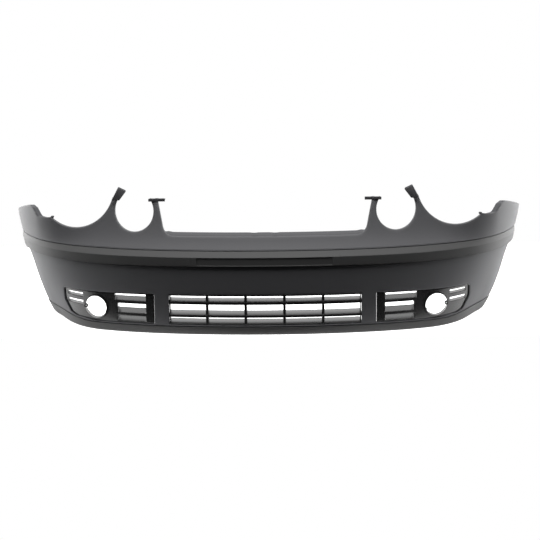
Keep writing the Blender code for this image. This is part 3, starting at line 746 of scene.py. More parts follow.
class EffectGroups:
    """Shader node groups that more than one finish uses, each built once."""

    def __init__(self) -> None:
        """Builds the groups."""
        self.grain = self._grain()
        self.handling = self._handling()

    @staticmethod
    def _new(name: str, inputs: dict[str, float], outputs: Sequence[str]) -> bpy.types.NodeTree:
        """An empty group with named sockets.

        Args:
            name: The group's name.
            inputs: Each number input and its default.
            outputs: The number outputs.

        Returns:
            The group, with its input and output nodes.
        """
        tree = bpy.data.node_groups.new(name, "ShaderNodeTree")
        tree.interface.new_socket("Vector", in_out="INPUT", socket_type="NodeSocketVector")
        for label, value in inputs.items():
            socket = tree.interface.new_socket(label, in_out="INPUT", socket_type="NodeSocketFloat")
            socket.default_value = value
        for label in outputs:
            tree.interface.new_socket(label, in_out="OUTPUT", socket_type="NodeSocketFloat")
        tree.nodes.new("NodeGroupInput")
        tree.nodes.new("NodeGroupOutput")
        return tree

    @staticmethod
    def _math(tree: bpy.types.NodeTree, operation: str, first: object, second: object) -> object:
        """Adds a Math node and links or sets its two inputs, giving its output."""
        node = tree.nodes.new("ShaderNodeMath")
        node.operation = operation
        for socket, value in zip(node.inputs, (first, second)):
            if isinstance(value, (int, float)):
                socket.default_value = value
            else:
                tree.links.new(value, socket)
        return node.outputs[0]

    def _grain(self) -> bpy.types.NodeTree:
        """Moulded grain: rounded pebbles of one size over a broad unevenness."""
        tree = self._new("moulded_grain", {"Scale": 900.0, "Broad Scale": 5.0}, ("Height", "Tone"))
        given, result = tree.nodes["Group Input"], tree.nodes["Group Output"]
        cells = tree.nodes.new("ShaderNodeTexVoronoi")
        cells.feature = "SMOOTH_F1"
        broad = tree.nodes.new("ShaderNodeTexNoise")
        broad.inputs["Detail"].default_value = 3
        for texture, scale in ((cells, "Scale"), (broad, "Broad Scale")):
            tree.links.new(given.outputs["Vector"], texture.inputs["Vector"])
            tree.links.new(given.outputs[scale], texture.inputs["Scale"])
        tree.links.new(cells.outputs["Distance"], result.inputs["Height"])
        tree.links.new(broad.outputs[0], result.inputs["Tone"])
        return tree

    def _handling(self) -> bpy.types.NodeTree:
        """Handling marks: faint streaks and a few specks of dust, as a mask."""
        tree = self._new("handling_marks", {"Streak Scale": 9.0, "Speck Scale": 260.0}, ("Mask",))
        given, result = tree.nodes["Group Input"], tree.nodes["Group Output"]
        stretch = tree.nodes.new("ShaderNodeVectorMath")
        stretch.operation = "MULTIPLY"
        stretch.inputs[1].default_value = (1.0, 1.0, 0.22)
        tree.links.new(given.outputs["Vector"], stretch.inputs[0])
        streaks = tree.nodes.new("ShaderNodeTexNoise")
        streaks.inputs["Detail"].default_value = 5
        streaks.inputs["Roughness"].default_value = 0.62
        specks = tree.nodes.new("ShaderNodeTexNoise")
        specks.inputs["Detail"].default_value = 1
        tree.links.new(stretch.outputs[0], streaks.inputs["Vector"])
        tree.links.new(given.outputs["Streak Scale"], streaks.inputs["Scale"])
        tree.links.new(given.outputs["Vector"], specks.inputs["Vector"])
        tree.links.new(given.outputs["Speck Scale"], specks.inputs["Scale"])
        soft = tree.nodes.new("ShaderNodeMapRange")
        soft.inputs["From Min"].default_value = 0.52
        soft.inputs["From Max"].default_value = 0.78
        hard = tree.nodes.new("ShaderNodeMapRange")
        hard.inputs["From Min"].default_value = 0.72
        hard.inputs["From Max"].default_value = 0.76
        tree.links.new(streaks.outputs[0], soft.inputs["Value"])
        tree.links.new(specks.outputs[0], hard.inputs["Value"])
        half = self._math(tree, "MULTIPLY", hard.outputs[0], 0.6)
        tree.links.new(self._math(tree, "MAXIMUM", soft.outputs[0], half), result.inputs["Mask"])
        return tree


@dataclass(frozen=True)
class Finish:
    """One moulded or metal finish.

    Attributes:
        name: The material's name.
        slot: The record's material slot; not used.
        colour: Base colour.
        marked: Colour where it is dusty or rubbed.
        roughness: Roughness where it is clean.
        marked_roughness: Roughness where it is marked.
        grain: Pebbles of the grain per metre, or per metre of noise on metal.
        relief: Depth of the grain in metres.
        metallic: 1 for metal.
        specular: Strength of its gloss.
        marks: How strongly the marks show.
    """

    name: str
    slot: str
    colour: tuple[float, float, float]
    marked: tuple[float, float, float]
    roughness: float
    marked_roughness: float
    grain: float
    relief: float
    metallic: float = 0.0
    specular: float = 0.5
    marks: float = 1.0

    @property
    def material(self) -> bpy.types.Material:
        """The finish's material, made when it is first asked for."""
        return bpy.data.materials.get(self.name) or self._build()

    def _build(self) -> bpy.types.Material:
        """Makes the material's nodes."""
        made = bpy.data.materials.new(self.name)
        made.use_nodes = True
        nodes, links = made.node_tree.nodes, made.node_tree.links
        shader = nodes["Principled BSDF"]
        shader.inputs["Metallic"].default_value = self.metallic
        shader.inputs["Specular IOR Level"].default_value = self.specular
        place = nodes.new("ShaderNodeTexCoord")
        grain = nodes.new("ShaderNodeGroup")
        grain.node_tree = EFFECTS.grain
        grain.inputs["Scale"].default_value = self.grain
        marks = nodes.new("ShaderNodeGroup")
        marks.node_tree = EFFECTS.handling
        for group in (grain, marks):
            links.new(place.outputs["Object"], group.inputs["Vector"])
        amount = nodes.new("ShaderNodeMath")
        amount.operation = "MULTIPLY"
        amount.inputs[1].default_value = self.marks
        links.new(marks.outputs["Mask"], amount.inputs[0])
        colour = nodes.new("ShaderNodeMix")
        colour.data_type = "RGBA"
        colour.inputs["A"].default_value = (*self.colour, 1)
        colour.inputs["B"].default_value = (*self.marked, 1)
        links.new(amount.outputs[0], colour.inputs["Factor"])
        tone = nodes.new("ShaderNodeMix")
        tone.data_type = "RGBA"
        tone.blend_type = "MULTIPLY"
        tone.inputs["Factor"].default_value = 0.22
        links.new(colour.outputs["Result"], tone.inputs["A"])
        links.new(grain.outputs["Tone"], tone.inputs["B"])
        links.new(tone.outputs["Result"], shader.inputs["Base Color"])
        rough = nodes.new("ShaderNodeMapRange")
        rough.inputs["To Min"].default_value = self.roughness
        rough.inputs["To Max"].default_value = self.marked_roughness
        links.new(amount.outputs[0], rough.inputs["Value"])
        links.new(rough.outputs[0], shader.inputs["Roughness"])
        bump = nodes.new("ShaderNodeBump")
        bump.inputs["Distance"].default_value = self.relief
        bump.inputs["Strength"].default_value = 0.5
        links.new(grain.outputs["Height"], bump.inputs["Height"])
        links.new(bump.outputs["Normal"], shader.inputs["Normal"])
        return made


EFFECTS = EffectGroups()
SATIN_PRIMER = Finish("satin_primer", "satin_primer", (0.026, 0.027, 0.028), (0.062, 0.063, 0.064),
                      0.36, 0.46, 2600.0, 0.00003, marks=0.45)
GRAINED = Finish("grained_plastic", "grained_plastic", (0.026, 0.0265, 0.027), (0.055, 0.056, 0.057),
                 0.42, 0.52, 750.0, 0.00030, marks=0.35)
GRILLE_BLACK = Finish("grille_plastic", "grille_plastic", (0.004, 0.004, 0.0042), (0.012, 0.012, 0.012),
                      0.24, 0.34, 1500.0, 0.00003, marks=0.4)
NYLON = Finish("black_nylon", "black_nylon", (0.018, 0.018, 0.019), (0.05, 0.05, 0.05),
               0.45, 0.55, 1800.0, 0.00005)
CLIP_STEEL = Finish("clip_steel", "clip_steel", (0.16, 0.16, 0.165), (0.22, 0.20, 0.18),
                    0.36, 0.55, 1200.0, 0.00004, metallic=0.85)


# ---------------------------------------------------------------- geometry nodes

class GeometryTree:
    """A Geometry Nodes tree with named inputs, built in order and baked to a plain mesh."""

    KINDS = {float: "NodeSocketFloat", int: "NodeSocketInt", bool: "NodeSocketBool",
             "object": "NodeSocketObject", "material": "NodeSocketMaterial"}

    def __init__(self, name: str, inputs: dict[str, object]) -> None:
        """Makes the tree's sockets.

        Args:
            name: The tree's name.
            inputs: Each input's default, or the word object or material.
        """
        self.tree = bpy.data.node_groups.new(name, "GeometryNodeTree")
        self.tree.interface.new_socket("Geometry", in_out="INPUT", socket_type="NodeSocketGeometry")
        self.names: dict[str, str] = {}
        for label, value in {**inputs, "Material": "material"}.items():
            kind = self.KINDS[value if isinstance(value, str) else type(value)]
            socket = self.tree.interface.new_socket(label, in_out="INPUT", socket_type=kind)
            if not isinstance(value, str):
                socket.default_value = value
            self.names[label] = socket.identifier
        self.tree.interface.new_socket("Geometry", in_out="OUTPUT", socket_type="NodeSocketGeometry")
        self.given = self.tree.nodes.new("NodeGroupInput")
        self.result = self.tree.nodes.new("NodeGroupOutput")

    def node(self, kind: str, inputs: dict[str | int, object] | None = None,
             **settings: object) -> bpy.types.Node:
        """Adds a node.

        Args:
            kind: The node's type, without its GeometryNode prefix unless it has another.
            inputs: Values or sockets for its inputs, by name or number.
            settings: Its properties.

        Returns:
            The node.
        """
        full = kind if kind.startswith(("FunctionNode", "ShaderNode")) else f"GeometryNode{kind}"
        made = self.tree.nodes.new(full)
        for label, value in settings.items():
            setattr(made, label, value)
        for label, value in (inputs or {}).items():
            if isinstance(value, bpy.types.NodeSocket):
                self.tree.links.new(value, made.inputs[label])
            else:
                made.inputs[label].default_value = value
        return made

    def input(self, label: str) -> bpy.types.NodeSocket:
        """The socket of a named input."""
        return self.given.outputs[label]

    def end(self, geometry: bpy.types.NodeSocket) -> None:
        """Realizes the instances, sets the material and closes the tree."""
        whole = self.node("RealizeInstances", {"Geometry": geometry})
        dressed_up = self.node("SetMaterial", {"Geometry": whole.outputs[0],
                                               "Material": self.input("Material")})
        self.tree.links.new(dressed_up.outputs[0], self.result.inputs[0])

    def bake(self, name: str, source: bpy.types.Object, finish: Finish,
             values: dict[str, object]) -> bpy.types.Object:
        """Runs the tree on an object and keeps the result as a plain mesh.

        Args:
            name: The new piece's name.
            source: The object that the tree reads, which becomes the piece.
            finish: What it is made of.
            values: A value for each named input.

        Returns:
            The piece.
        """
        source.name = name
        modifier = source.modifiers.new("nodes", "NODES")
        modifier.node_group = self.tree
        for label, value in {**values, "Material": finish.material}.items():
            modifier[self.names[label]] = value
        return applied(source)


def path_object(points: np.ndarray) -> bpy.types.Object:
    """A line of edges through points, for a tree to follow."""
    mesh = bpy.data.meshes.new("path")
    mesh.from_pydata(points.tolist(), [(i, i + 1) for i in range(len(points) - 1)], [])
    made = bpy.data.objects.new("path", mesh)
    bpy.context.scene.collection.objects.link(made)
    return made


def slat_tree() -> GeometryTree:
    """A slat swept along a path: a flat bar with rounded edges, tilted up towards the rear."""
    tree = GeometryTree("grille_slat", {"Depth": 0.03, "Height": 0.01, "Corner": 0.001, "Tilt": 0.2})
    line = tree.node("MeshToCurve", {"Mesh": tree.given.outputs["Geometry"]})
    level = tree.node("SetCurveNormal", {"Curve": line.outputs[0]}, mode="Z_UP")
    bar = tree.node("CurvePrimitiveQuadrilateral", {"Width": tree.input("Depth"),
                                                    "Height": tree.input("Height")})
    soft = tree.node("FilletCurve", {"Curve": bar.outputs[0], "Radius": tree.input("Corner"), "Count": 3},
                     mode="POLY")
    turn = tree.node("ShaderNodeCombineXYZ", {"Z": tree.input("Tilt")})
    tilted = tree.node("Transform", {"Geometry": soft.outputs[0], "Rotation": turn.outputs[0]})
    swept = tree.node("CurveToMesh", {"Curve": level.outputs[0], "Profile Curve": tilted.outputs[0],
                                      "Fill Caps": True})
    tree.end(swept.outputs[0])
    return tree


def rib_tree() -> GeometryTree:
    """Upright ribs spaced evenly along a path: a rounded plan shape drawn up to its height."""
    tree = GeometryTree("grille_ribs", {"Count": 4, "Thickness": 0.003, "Depth": 0.03, "Height": 0.09,
                                        "Corner": 0.001})
    line = tree.node("MeshToCurve", {"Mesh": tree.given.outputs["Geometry"]})
    spots = tree.node("CurveToPoints", {"Curve": line.outputs[0], "Count": tree.input("Count")})
    plan = tree.node("CurvePrimitiveQuadrilateral", {"Width": tree.input("Thickness"),
                                                     "Height": tree.input("Depth")})
    soft = tree.node("FilletCurve", {"Curve": plan.outputs[0], "Radius": tree.input("Corner"), "Count": 3},
                     mode="POLY")
    up = tree.node("ShaderNodeCombineXYZ", {"Z": tree.input("Height")})
    rail = tree.node("CurvePrimitiveLine", {"End": up.outputs[0]})
    solid = tree.node("CurveToMesh", {"Curve": rail.outputs[0], "Profile Curve": soft.outputs[0],
                                      "Fill Caps": True})
    placed = tree.node("InstanceOnPoints", {"Points": spots.outputs[0], "Instance": solid.outputs[0]})
    tree.end(placed.outputs[0])
    return tree


def fixing_tree() -> GeometryTree:
    """Copies of one fixing on the vertices of a mesh, turned as the vertices' turn attribute says."""
    tree = GeometryTree("fixings", {"Fixing": "object"})
    one = tree.node("ObjectInfo", {"Object": tree.input("Fixing")})
    turn = tree.node("InputNamedAttribute", {"Name": "turn"}, data_type="FLOAT_VECTOR")
    placed = tree.node("InstanceOnPoints", {"Points": tree.given.outputs["Geometry"],
                                            "Instance": one.outputs["Geometry"],
                                            "Rotation": turn.outputs[0]})
    tree.end(placed.outputs[0])
    return tree


def collar_tree() -> GeometryTree:
    """A ring round a bore: a rounded bar swept round a circle in the XZ plane."""
    tree = GeometryTree("lamp_collar", {"Radius": 0.036, "Wall": 0.004, "Depth": 0.02, "Corner": 0.001})
    ring = tree.node("CurvePrimitiveCircle", {"Resolution": 72, "Radius": tree.input("Radius")})
    bar = tree.node("CurvePrimitiveQuadrilateral", {"Width": tree.input("Wall"),
                                                    "Height": tree.input("Depth")})
    soft = tree.node("FilletCurve", {"Curve": bar.outputs[0], "Radius": tree.input("Corner"), "Count": 3},
                     mode="POLY")
    swept = tree.node("CurveToMesh", {"Curve": ring.outputs[0], "Profile Curve": soft.outputs[0]})
    upright = tree.node("Transform", {"Geometry": swept.outputs[0], "Rotation": (math.pi / 2, 0, 0)})
    spot = tree.node("InstanceOnPoints", {"Points": tree.given.outputs["Geometry"],
                                          "Instance": upright.outputs[0]})
    tree.end(spot.outputs[0])
    return tree


# ---------------------------------------------------------------- mesh helpers for small pieces

def add_prism(bm: bmesh.types.BMesh, outline: Sequence[Sequence[float]], low: float, high: float,
              bevel: float = 0.0) -> None:
    """Adds an upright slab with a flat outline and rounded edges.

    Args:
        bm: The mesh to add to.
        outline: The outline in (x, y), in order.
        low: Height of its foot.
        high: Height of its top.
        bevel: Width of its rounded edges.
    """
    verts = [bm.verts.new((x, y, low)) for x, y in outline]
    face = bm.faces.new(verts)
    pushed = bmesh.ops.extrude_face_region(bm, geom=[face], use_keep_orig=True)["geom"]
    moved = [item for item in pushed if isinstance(item, bmesh.types.BMVert)]
    bmesh.ops.translate(bm, verts=moved, vec=(0, 0, high - low))
    if bevel > 0:
        edges = {edge for vert in verts + moved for edge in vert.link_edges
                 if len(edge.link_faces) == 2 and edge.calc_face_angle(0) > math.radians(25)}
        bmesh.ops.bevel(bm, geom=list(edges), offset=bevel, segments=2, profile=0.5, affect="EDGES")


def add_turned(bm: bmesh.types.BMesh, profile: Sequence[tuple[float, float]], matrix: Matrix,
               steps: int = 28) -> None:
    """Adds a turned shape from its closed profile.

    Args:
        bm: The mesh to add to.
        profile: Radius and height of each point, down the outer side.
        matrix: Where it goes.
        steps: Sides of the turned shape.
    """
    verts = [bm.verts.new((radius, 0, z)) for radius, z in profile]
    loop = list(zip(verts, verts[1:]))
    if profile[0][0] > 0 or profile[-1][0] > 0:
        loop.append((verts[-1], verts[0]))
    edges = [bm.edges.new(pair) for pair in loop]
    bmesh.ops.spin(bm, geom=verts + edges, axis=(0, 0, 1), cent=(0, 0, 0), steps=steps, angle=2 * math.pi)
    bmesh.ops.remove_doubles(bm, verts=bm.verts, dist=1e-7)
    bmesh.ops.transform(bm, matrix=matrix, verts=bm.verts)


def finished_mesh(name: str, bm: bmesh.types.BMesh) -> bpy.types.Object:
    """An object from a finished mesh, its faces turned outwards."""
    bmesh.ops.remove_doubles(bm, verts=bm.verts, dist=1e-7)
    bmesh.ops.recalc_face_normals(bm, faces=bm.faces)
    mesh = bpy.data.meshes.new(name)
    bm.to_mesh(mesh)
    bm.free()
    made = bpy.data.objects.new(name, mesh)
    bpy.context.scene.collection.objects.link(made)
    return made


def turned_source(name: str, profile: Sequence[tuple[float, float]]) -> bpy.types.Object:
    """One turned fixing at the origin, for a tree to copy."""
    bm = bmesh.new()
    add_turned(bm, profile, Matrix.Identity(4))
    return finished_mesh(name, bm)


def spots_object(points: Sequence[Vector], turns: Sequence[Vector]) -> bpy.types.Object:
    """Loose vertices that carry a turn, for a tree to copy a fixing on to.

    Args:
        points: Where the fixings go.
        turns: Each one's rotation as Euler angles.

    Returns:
        The object.
    """
    mesh = bpy.data.meshes.new("spots")
    mesh.from_pydata([tuple(p) for p in points], [], [])
    attribute = mesh.attributes.new("turn", "FLOAT_VECTOR", "POINT")
    for item, turn in zip(attribute.data, turns):
        item.vector = turn
    made = bpy.data.objects.new("spots", mesh)
    bpy.context.scene.collection.objects.link(made)
    return made


# ---------------------------------------------------------------- sub-assemblies

@dataclass
class CoverShell:
    """The one-piece cover: skin, strip channel, foot, flanges, shelf and tabs."""

    skin: Skin
    wall: float = 0.003
    foot_depth: float = 0.036
    foot_bend: float = 0.007
    lip_wall: float = 0.003
    lip_gap: float = 0.0009
    lip_proud: float = 0.0015
    channel_depth: float = 0.0065
    edge: float = 0.0005
    roll: float = 0.0032
    return_depth: float = 0.016
    opening_top: float = 0.1195
    centre_half: float = 0.286
    pillar: float = 0.044
    side_end: float = 0.622
    side_foot: float = 0.580
    opening_corner: float = 0.004
    notch_half: float = 0.299
    notch_floor: float = 0.2865
    notch_spread: float = 0.22
    notch_corner: float = 0.034
    inner_lamp: tuple[float, float] = (0.394, 0.3555)
    inner_radius: float = 0.0600
    outer_lamp: tuple[float, float] = (0.585, 0.4257)
    outer_radius: float = 0.1264
    arm_top: float = 0.392
    tab_top: float = 0.4235
    lamp_corner_x: float = 0.664
    lamp_corner_z: float = 0.3285
    wing_dip: float = 0.3215
    wing_peak: float = 0.351
    wing_corner: float = 0.310
    arch_radius: float = 0.335
    arch_centre: float = 0.125
    arch_foot: float = 0.075
    heel_back: float = 0.165
    sky: float = 0.6
    rear_gap: float = 0.0003

    @property
    def lip_seat(self) -> float:
        """How far the skin steps in behind the lip."""
        return self.lip_wall + self.lip_gap - self.lip_proud

    def stations(self, along: np.ndarray) -> list[np.ndarray]:
        """The cover's section from the foot's rear edge to the top of the arms."""
        skin = self.skin
        under = self.lip_wall + self.lip_gap
        foot, lip = skin.lower_out(along, 0), skin.lip_top(along)
        floor = skin.seam_out(along) - self.channel_depth
        corners = [(foot - d, under, 0) for d in np.linspace(self.foot_depth, 0.014, 5)]
        corners.append((foot - self.lip_seat, under, 0.006))
        for share in np.linspace(0.45, 1.0, 4):
            z = under + (lip - self.edge - under) * share
            corners.append((skin.lower_out(along, z) - self.lip_seat, z, 0))
        corners.append((skin.lower_out(along, lip), lip + self.edge, 0.0008))
        bottom, seam = skin.strip_bottom, skin.strip_seam
        for share in np.linspace(0, 1, 34) ** 1.0:
            z = lip + 0.004 + (bottom - 0.004 - lip - 0.004) * share
            corners.append((skin.lower_out(along, z), z, 0))
        corners.append((skin.lower_out(along, bottom), bottom - self.edge, 0.0009))
        corners += [(floor, bottom + self.edge, 0.001), (floor, seam - self.edge, 0.001)]
        corners.append((skin.upper_out(along, seam + self.edge), seam + self.edge, 0.0014))
        for share in np.linspace(0, 1, 36) ** 1.15:
            z = seam + 0.0035 + (self.tab_top + 0.008 - seam - 0.0035) * share
            corners.append((skin.upper_out(along, z), z, 0))
        return rolled(corners)

    def notch(self) -> Outline:
        """The upper grille's notch, open at the top."""
        spread = self.notch_spread * (self.sky - self.notch_floor)
        half, floor = self.notch_half, self.notch_floor
        points = [(-half, floor), (half, floor), (half + spread, self.sky), (-half - spread, self.sky)]
        return filleted(points, (self.notch_corner, self.notch_corner, 0, 0), 14)

    def above_arms(self) -> Outline:
        """What lies above the left arms: it leaves the slanted tab at the outer arm's top."""
        shoulder = self.outer_lamp[0] - self.outer_radius
        root = self.arm_top - 0.001
        tab = [(shoulder - 0.040, self.tab_top - 0.010), (shoulder - 0.014, self.tab_top),
               (shoulder + 0.0035, root)]
        left = [(-0.01, self.sky), (-0.01, self.arm_top), (shoulder - 0.021, self.arm_top)]
        outline = left + tab + [(self.outer_lamp[0], root), (self.outer_lamp[0], self.sky)]
        return filleted(outline, (0, 0, 0.006, 0.003, 0.003, 0.003, 0, 0), 4)

    def centre_opening(self) -> Outline:
        """The opening below the strip."""
        low, half = self.skin.lip_top_front + self.wall, self.centre_half
        points = [(-half, low), (half, low), (half, self.opening_top), (-half, self.opening_top)]
        return filleted(points, (self.opening_corner,) * 4, 6)

    def side_opening(self) -> Outline:
        """The left opening beside the pillar: its foot follows the lip's top edge."""
        inner = self.centre_half + self.pillar
        low = self.skin.lip_top_front + self.wall
        high = self.skin.lip_top_side + self.wall
        foot = self.side_foot
        points = [(inner, low), (foot - 0.10, low), (foot, low + 0.004), (foot + 0.020, high)]
        points += [(self.side_end, 0.076), (self.side_end, self.opening_top - 0.0045)]
        points.append((inner, self.opening_top))
        radii = [self.opening_corner, 0.08, 0.03, 0.012, 0.03, 0.006, self.opening_corner]
        return filleted(points, radii, 6)

    def wing_corner_y(self) -> float:
        """The y of the corner where the headlamp's arch meets the wing."""
        along = self.skin.at_x(self.lamp_corner_x)
        return float(self.skin.point(along, self.skin.upper_out(along, self.lamp_corner_z), 0)[1])

    def wing(self) -> Outline:
        """In (y, z): all that lies above the wing's edge, behind the arch and under the heel."""
        corner, rear = self.wing_corner_y(), self.skin.from_nose(self.skin.depth) - self.rear_gap
        rise = math.asin((self.wing_corner - self.arch_centre) / self.arch_radius)
        fall = math.asin((self.arch_foot - self.arch_centre) / self.arch_radius)
        centre = rear + self.arch_radius * math.cos(rise)
        arch = [(centre - self.arch_radius * math.cos(t), self.arch_centre + self.arch_radius * math.sin(t))
                for t in np.linspace(rise, fall, 41)]
        heel = rear - self.heel_back
        top = [(corner - 0.03, self.sky), (corner - 0.03, self.lamp_corner_z + 0.001)]
        top += [(corner, self.lamp_corner_z), (corner + 0.032, self.wing_dip)]
        top += [(corner + 0.060, self.wing_dip + 0.001), (corner + 0.088, self.wing_peak - 0.006)]
        top.append((corner + 0.115, self.wing_peak))
        foot = [(heel, 0.006), (heel - 0.03, -0.002), (heel - 0.04, -0.05), (FAR, -0.05), (FAR, self.sky)]
        radii = [0, 0, 0.02, 0.03, 0.02, 0.02, 0.02, 0.006] + [0] * 39 + [0.03, 0.03, 0.02, 0, 0, 0]
        return filleted(top + arch + foot, radii, 8)

    def cuts(self) -> list[Cut]:
        """Everything that is cut out of the left half of the cover."""
        deep = {"roll": self.roll, "flange": self.return_depth}
        thin = {"roll": 0.0010, "flange": 0.0020}
        return [Cut(self.notch(), shelf=True, **deep), Cut(self.above_arms(), **thin),
                Cut(circle(self.inner_lamp, self.inner_radius, 120), **deep),
                Cut(circle(self.outer_lamp, self.outer_radius, 200), **deep),
                Cut(self.centre_opening(), **deep), Cut(self.side_opening(), **deep),
                Cut(self.wing(), Look.SIDE, **deep)]

    def shell(self) -> bpy.types.Object:
        """The cover's shell, standing for its frame node."""
        section = Section(self.skin, self.stations)
        moulding = Moulding("cover_shell", section, 0.0, self.skin.curve_end, self.wall, cuts=self.cuts())
        made = moulding.piece(SATIN_PRIMER)
        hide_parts("bumper_cover")
        return made

    def tabs(self) -> None:
        """The T-shaped tabs on the inner arms, with a rim and a screw boss."""
        for side in Side:
            spread = self.notch_spread * (self.arm_top - self.notch_floor)
            x = side.value * (self.notch_half + spread + 0.002)
            along = self.skin.at_x(x)
            y = float(self.skin.point(along, self.skin.upper_out(along, self.arm_top), 0)[1])
            bm = bmesh.new()
            half, front = 0.025, y + 0.001
            outline = [(x - half, front), (x + half, front), (x + half, y + 0.019),
                       (x + 0.021, y + 0.025), (x - 0.021, y + 0.025), (x - half, y + 0.019)]
            add_prism(bm, outline, self.arm_top - self.wall, self.arm_top, 0.0007)
            rim = [(x - half, front), (x + half, front), (x + half, y + 0.0035), (x - half, y + 0.0035)]
            add_prism(bm, rim, self.arm_top - 0.007, self.arm_top + 0.0012, 0.0006)
            made = finished_mesh(f"arm_tab_{side.label}", bm)
            bm = bmesh.new()
            boss = [(0.0030, 0.0012), (0.0062, 0.0012), (0.0062, -0.0050), (0.0030, -0.0050)]
            add_turned(bm, boss, Matrix.Translation((x, y + 0.013, self.arm_top)))
            joined(made, finished_mesh("boss", bm))
            dressed(made, SATIN_PRIMER)


def lamp_tab(cover: CoverShell, side: Side) -> None:
    """The slanted screw tab on top of an outer arm, in front of the inner lamp's cut-out."""
    shoulder = cover.outer_lamp[0] - cover.outer_radius
    along = cover.skin.at_x(shoulder)
    y = float(cover.skin.point(along, cover.skin.upper_out(along, cover.arm_top), 0)[1])
    foot, top = cover.arm_top - 0.008, cover.tab_top - 0.0012
    outline = [(shoulder + 0.0055, foot), (shoulder - 0.0185, foot + 0.001),
               (shoulder - 0.039, top - 0.0105), (shoulder - 0.0145, top)]
    bm = bmesh.new()
    rounded = [(x, z) for x, z in filleted(outline, (0.003, 0.003, 0.0015, 0.0015), 3)]
    add_prism(bm, rounded, 0, 0.0034, 0.0006)
    bmesh.ops.transform(bm, matrix=Matrix(((side.value, 0, 0, 0), (0, 0, 1, y - 0.0012), (0, 1, 0, 0),
                                           (0, 0, 0, 1))), verts=bm.verts)
    dressed(finished_mesh(f"lamp_tab_{side.label}", bm), SATIN_PRIMER)


def joined(made: bpy.types.Object, other: bpy.types.Object) -> None:
    """Adds another object's mesh to a piece and removes the object."""
    bm = bmesh.new()
    bm.from_mesh(made.data)
    bm.from_mesh(other.data)
    bm.to_mesh(made.data)
    bm.free()
    bpy.data.objects.remove(other)


@dataclass
class LowerLip:
    """The grained lip under the cover."""

    cover: CoverShell
    seam: float = 0.0022

    def stations(self, along: np.ndarray) -> list[np.ndarray]:
        """The lip's section from the foot's rear edge to its top edge."""
        skin, proud = self.cover.skin, self.cover.lip_proud
        foot = skin.lower_out(along, 0) + proud
        top = skin.lip_top(along) - self.seam
        corners = [(foot - d, 0.0, 0) for d in np.linspace(self.cover.foot_depth + proud, 0.012, 6)]
        corners.append((foot, 0.0, self.cover.foot_bend))
        for share in np.linspace(0.4, 0.9, 5):
            z = top * share
            corners.append((skin.lower_out(along, z) + proud, z, 0))
        corners.append((skin.lower_out(along, top) + proud, top, 0.0011))
        corners.append((skin.lower_out(along, top) + proud - 0.0016, top, 0))
        return rolled(corners)

    def piece(self) -> bpy.types.Object:
        """The whole lip, standing for its frame node."""
        section = Section(self.cover.skin, self.stations, 0.0022)
        cut = Cut(self.cover.wing(), Look.SIDE, roll=0.0012, flange=0.002)
        moulding = Moulding("lip", section, 0.0, self.cover.skin.curve_end, self.cover.lip_wall - 0.0004,
                            spacing=0.0075, cuts=[cut])
        made = moulding.piece(GRAINED)
        # The foot lies flat on the ground plane.
        for vertex in made.data.vertices:
            vertex.co.z = max(vertex.co.z, 0.0)
        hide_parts("lower_lip")
        return made


